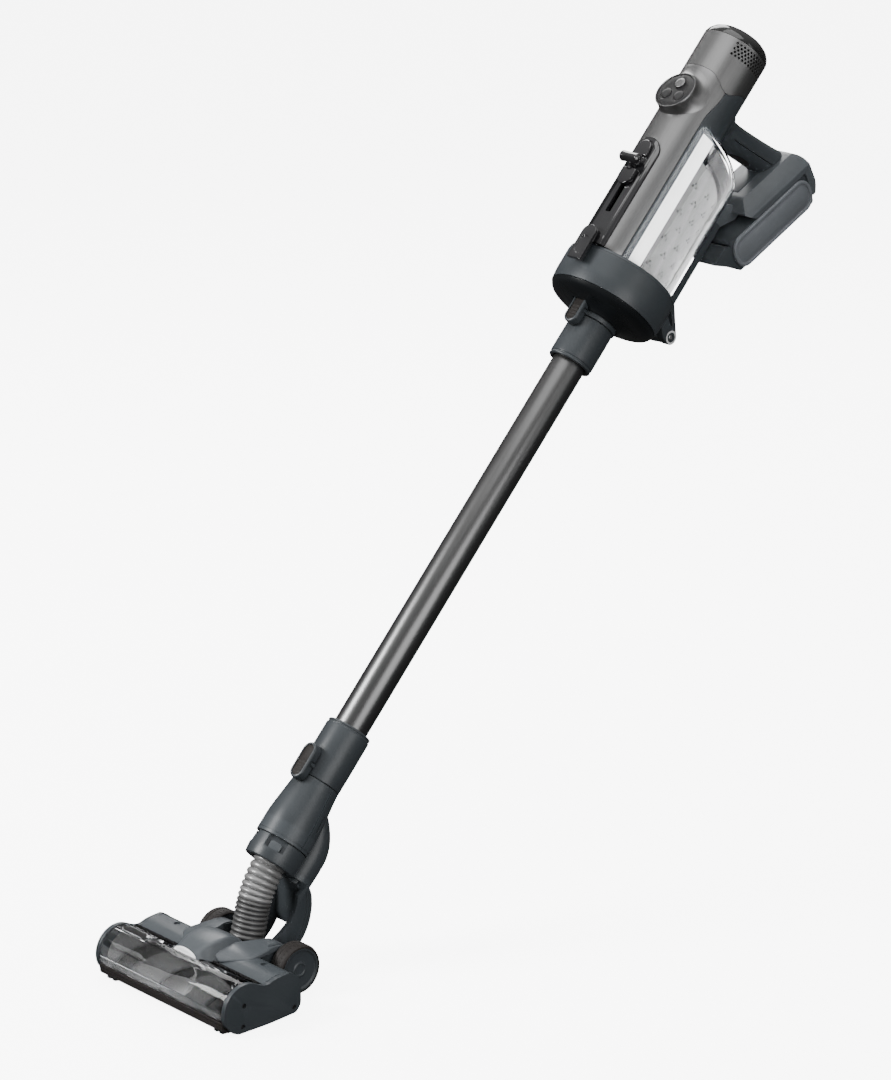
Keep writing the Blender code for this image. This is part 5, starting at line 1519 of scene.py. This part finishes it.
# ---- stage: floor, light and camera ------------------------------------------------------------
def area_light(name, place, target, size, power, tall=None):
    """A rectangular lamp that faces its target."""
    light = bpy.data.lights.new(name, 'AREA')
    light.shape = 'RECTANGLE'
    light.size = size
    light.size_y = tall or size
    light.energy = power
    obj = bpy.data.objects.new(name, light)
    bpy.context.scene.collection.objects.link(obj)
    obj.location = place
    obj.rotation_euler = (Vector(target) - Vector(place)).to_track_quat('-Z', 'Y').to_euler()


def build_stage():
    """A paper sweep seen by the camera, a dim sky that fades to the horizon, and five lamps."""
    # flat round the object, and rising far away behind it like a studio's paper sweep
    sweep = lathe([(0, FLOOR_Z), (4.0, FLOOR_Z), (13.0, FLOOR_Z), (14.5, 0.2), (16.0, 0.9),
                   (17.0, 2.2), (17.5, 4.0), (17.6, 7.0)])
    floor = raw_object("studio_floor", sweep, Matrix.Identity(4))
    floor.data.shade_smooth()
    made = Nodes("floor_paint")
    tone = made.ramp(made.noise(made.coordinates(), 3.0, 4.0), (0.3, (0.86, 0.86, 0.86)),
                     (0.7, (0.88, 0.88, 0.88)))
    floor.data.materials.append(made.finish(
        tone, None, Roughness=0.85, Specular_IOR_Level=0.2, Emission_Strength=FLOOR_GLOW,
        Emission_Color=(1.0, 1.0, 1.0, 1.0)))
    # bright to the camera and through the clear parts, but it doesn't light the undersides
    floor.visible_diffuse = False
    floor.visible_glossy = False
    floor.visible_shadow = False

    world = bpy.data.worlds.new("studio")
    bpy.context.scene.world = world
    world.use_nodes = True
    nodes, links = world.node_tree.nodes, world.node_tree.links
    background = nodes["Background"]
    background.inputs["Color"].default_value = (1.0, 1.0, 1.0, 1.0)
    split = nodes.new("ShaderNodeSeparateXYZ")
    fade = nodes.new("ShaderNodeMapRange")
    for socket, value in (("From Min", 0.15), ("From Max", 0.9), ("To Min", SKY_LOW),
                          ("To Max", SKY_TOP)):
        fade.inputs[socket].default_value = value
    links.new(nodes.new("ShaderNodeTexCoord").outputs["Generated"], split.inputs["Vector"])
    links.new(split.outputs["Z"], fade.inputs["Value"])
    links.new(fade.outputs["Result"], background.inputs["Strength"])

    middle = (0.0, 0.35, 0.4)
    area_light("key", (-1.5, -2.4, 2.2), middle, 1.1, 200.0)
    area_light("top", (0.3, 0.3, 3.4), middle, 2.6, 70.0)
    area_light("fill", (3.2, -0.5, 1.0), middle, 2.2, 85.0)
    area_light("rim", (2.4, 1.6, 1.4), middle, 0.35, 6.0, 2.0)
    area_light("back", (-1.6, 1.6, 2.0), middle, 1.2, 40.0)


def build_camera():
    """The photograph's camera, as worked out from its edges and circles."""
    azimuth = math.radians(CAMERA_AZIMUTH)
    elevation = math.radians(CAMERA_ELEVATION)
    back = Vector((math.sin(azimuth) * math.cos(elevation),
                   -math.cos(azimuth) * math.cos(elevation), math.sin(elevation)))
    data = bpy.data.cameras.new("camera")
    data.lens = 133.33
    data.sensor_width = 36.0
    data.clip_end = 60.0
    camera = bpy.data.objects.new("camera", data)
    bpy.context.scene.collection.objects.link(camera)
    camera.location = (2.7727, -2.1782, 1.5673)
    camera.rotation_mode = 'QUATERNION'
    camera.rotation_quaternion = (-back).to_track_quat('-Z', 'Y')
    bpy.context.scene.camera = camera


def build_object():
    build_motor_cover()
    build_motor_tray()
    build_exhaust()
    build_channel()
    build_slider()
    build_latch()
    build_pod()
    build_bin()
    build_inside()
    build_handle()
    build_dock()
    build_battery()
    build_lid()
    build_release("wand_release", "wand_lever", 760.0, 796.0, 778.0, 764.0)
    build_wand()
    build_release("head_release", "head_lever", 230.5, 270.0, 250.0, 234.5)
    build_neck()
    build_hose()
    build_yoke()
    build_end_caps()
    build_base()
    build_cover()
    build_duct()
    build_window()
    build_bumper()
    build_brush()
    build_bristle_strip()
    build_wheels()
    build_drive()


build_camera()
build_stage()
build_object()
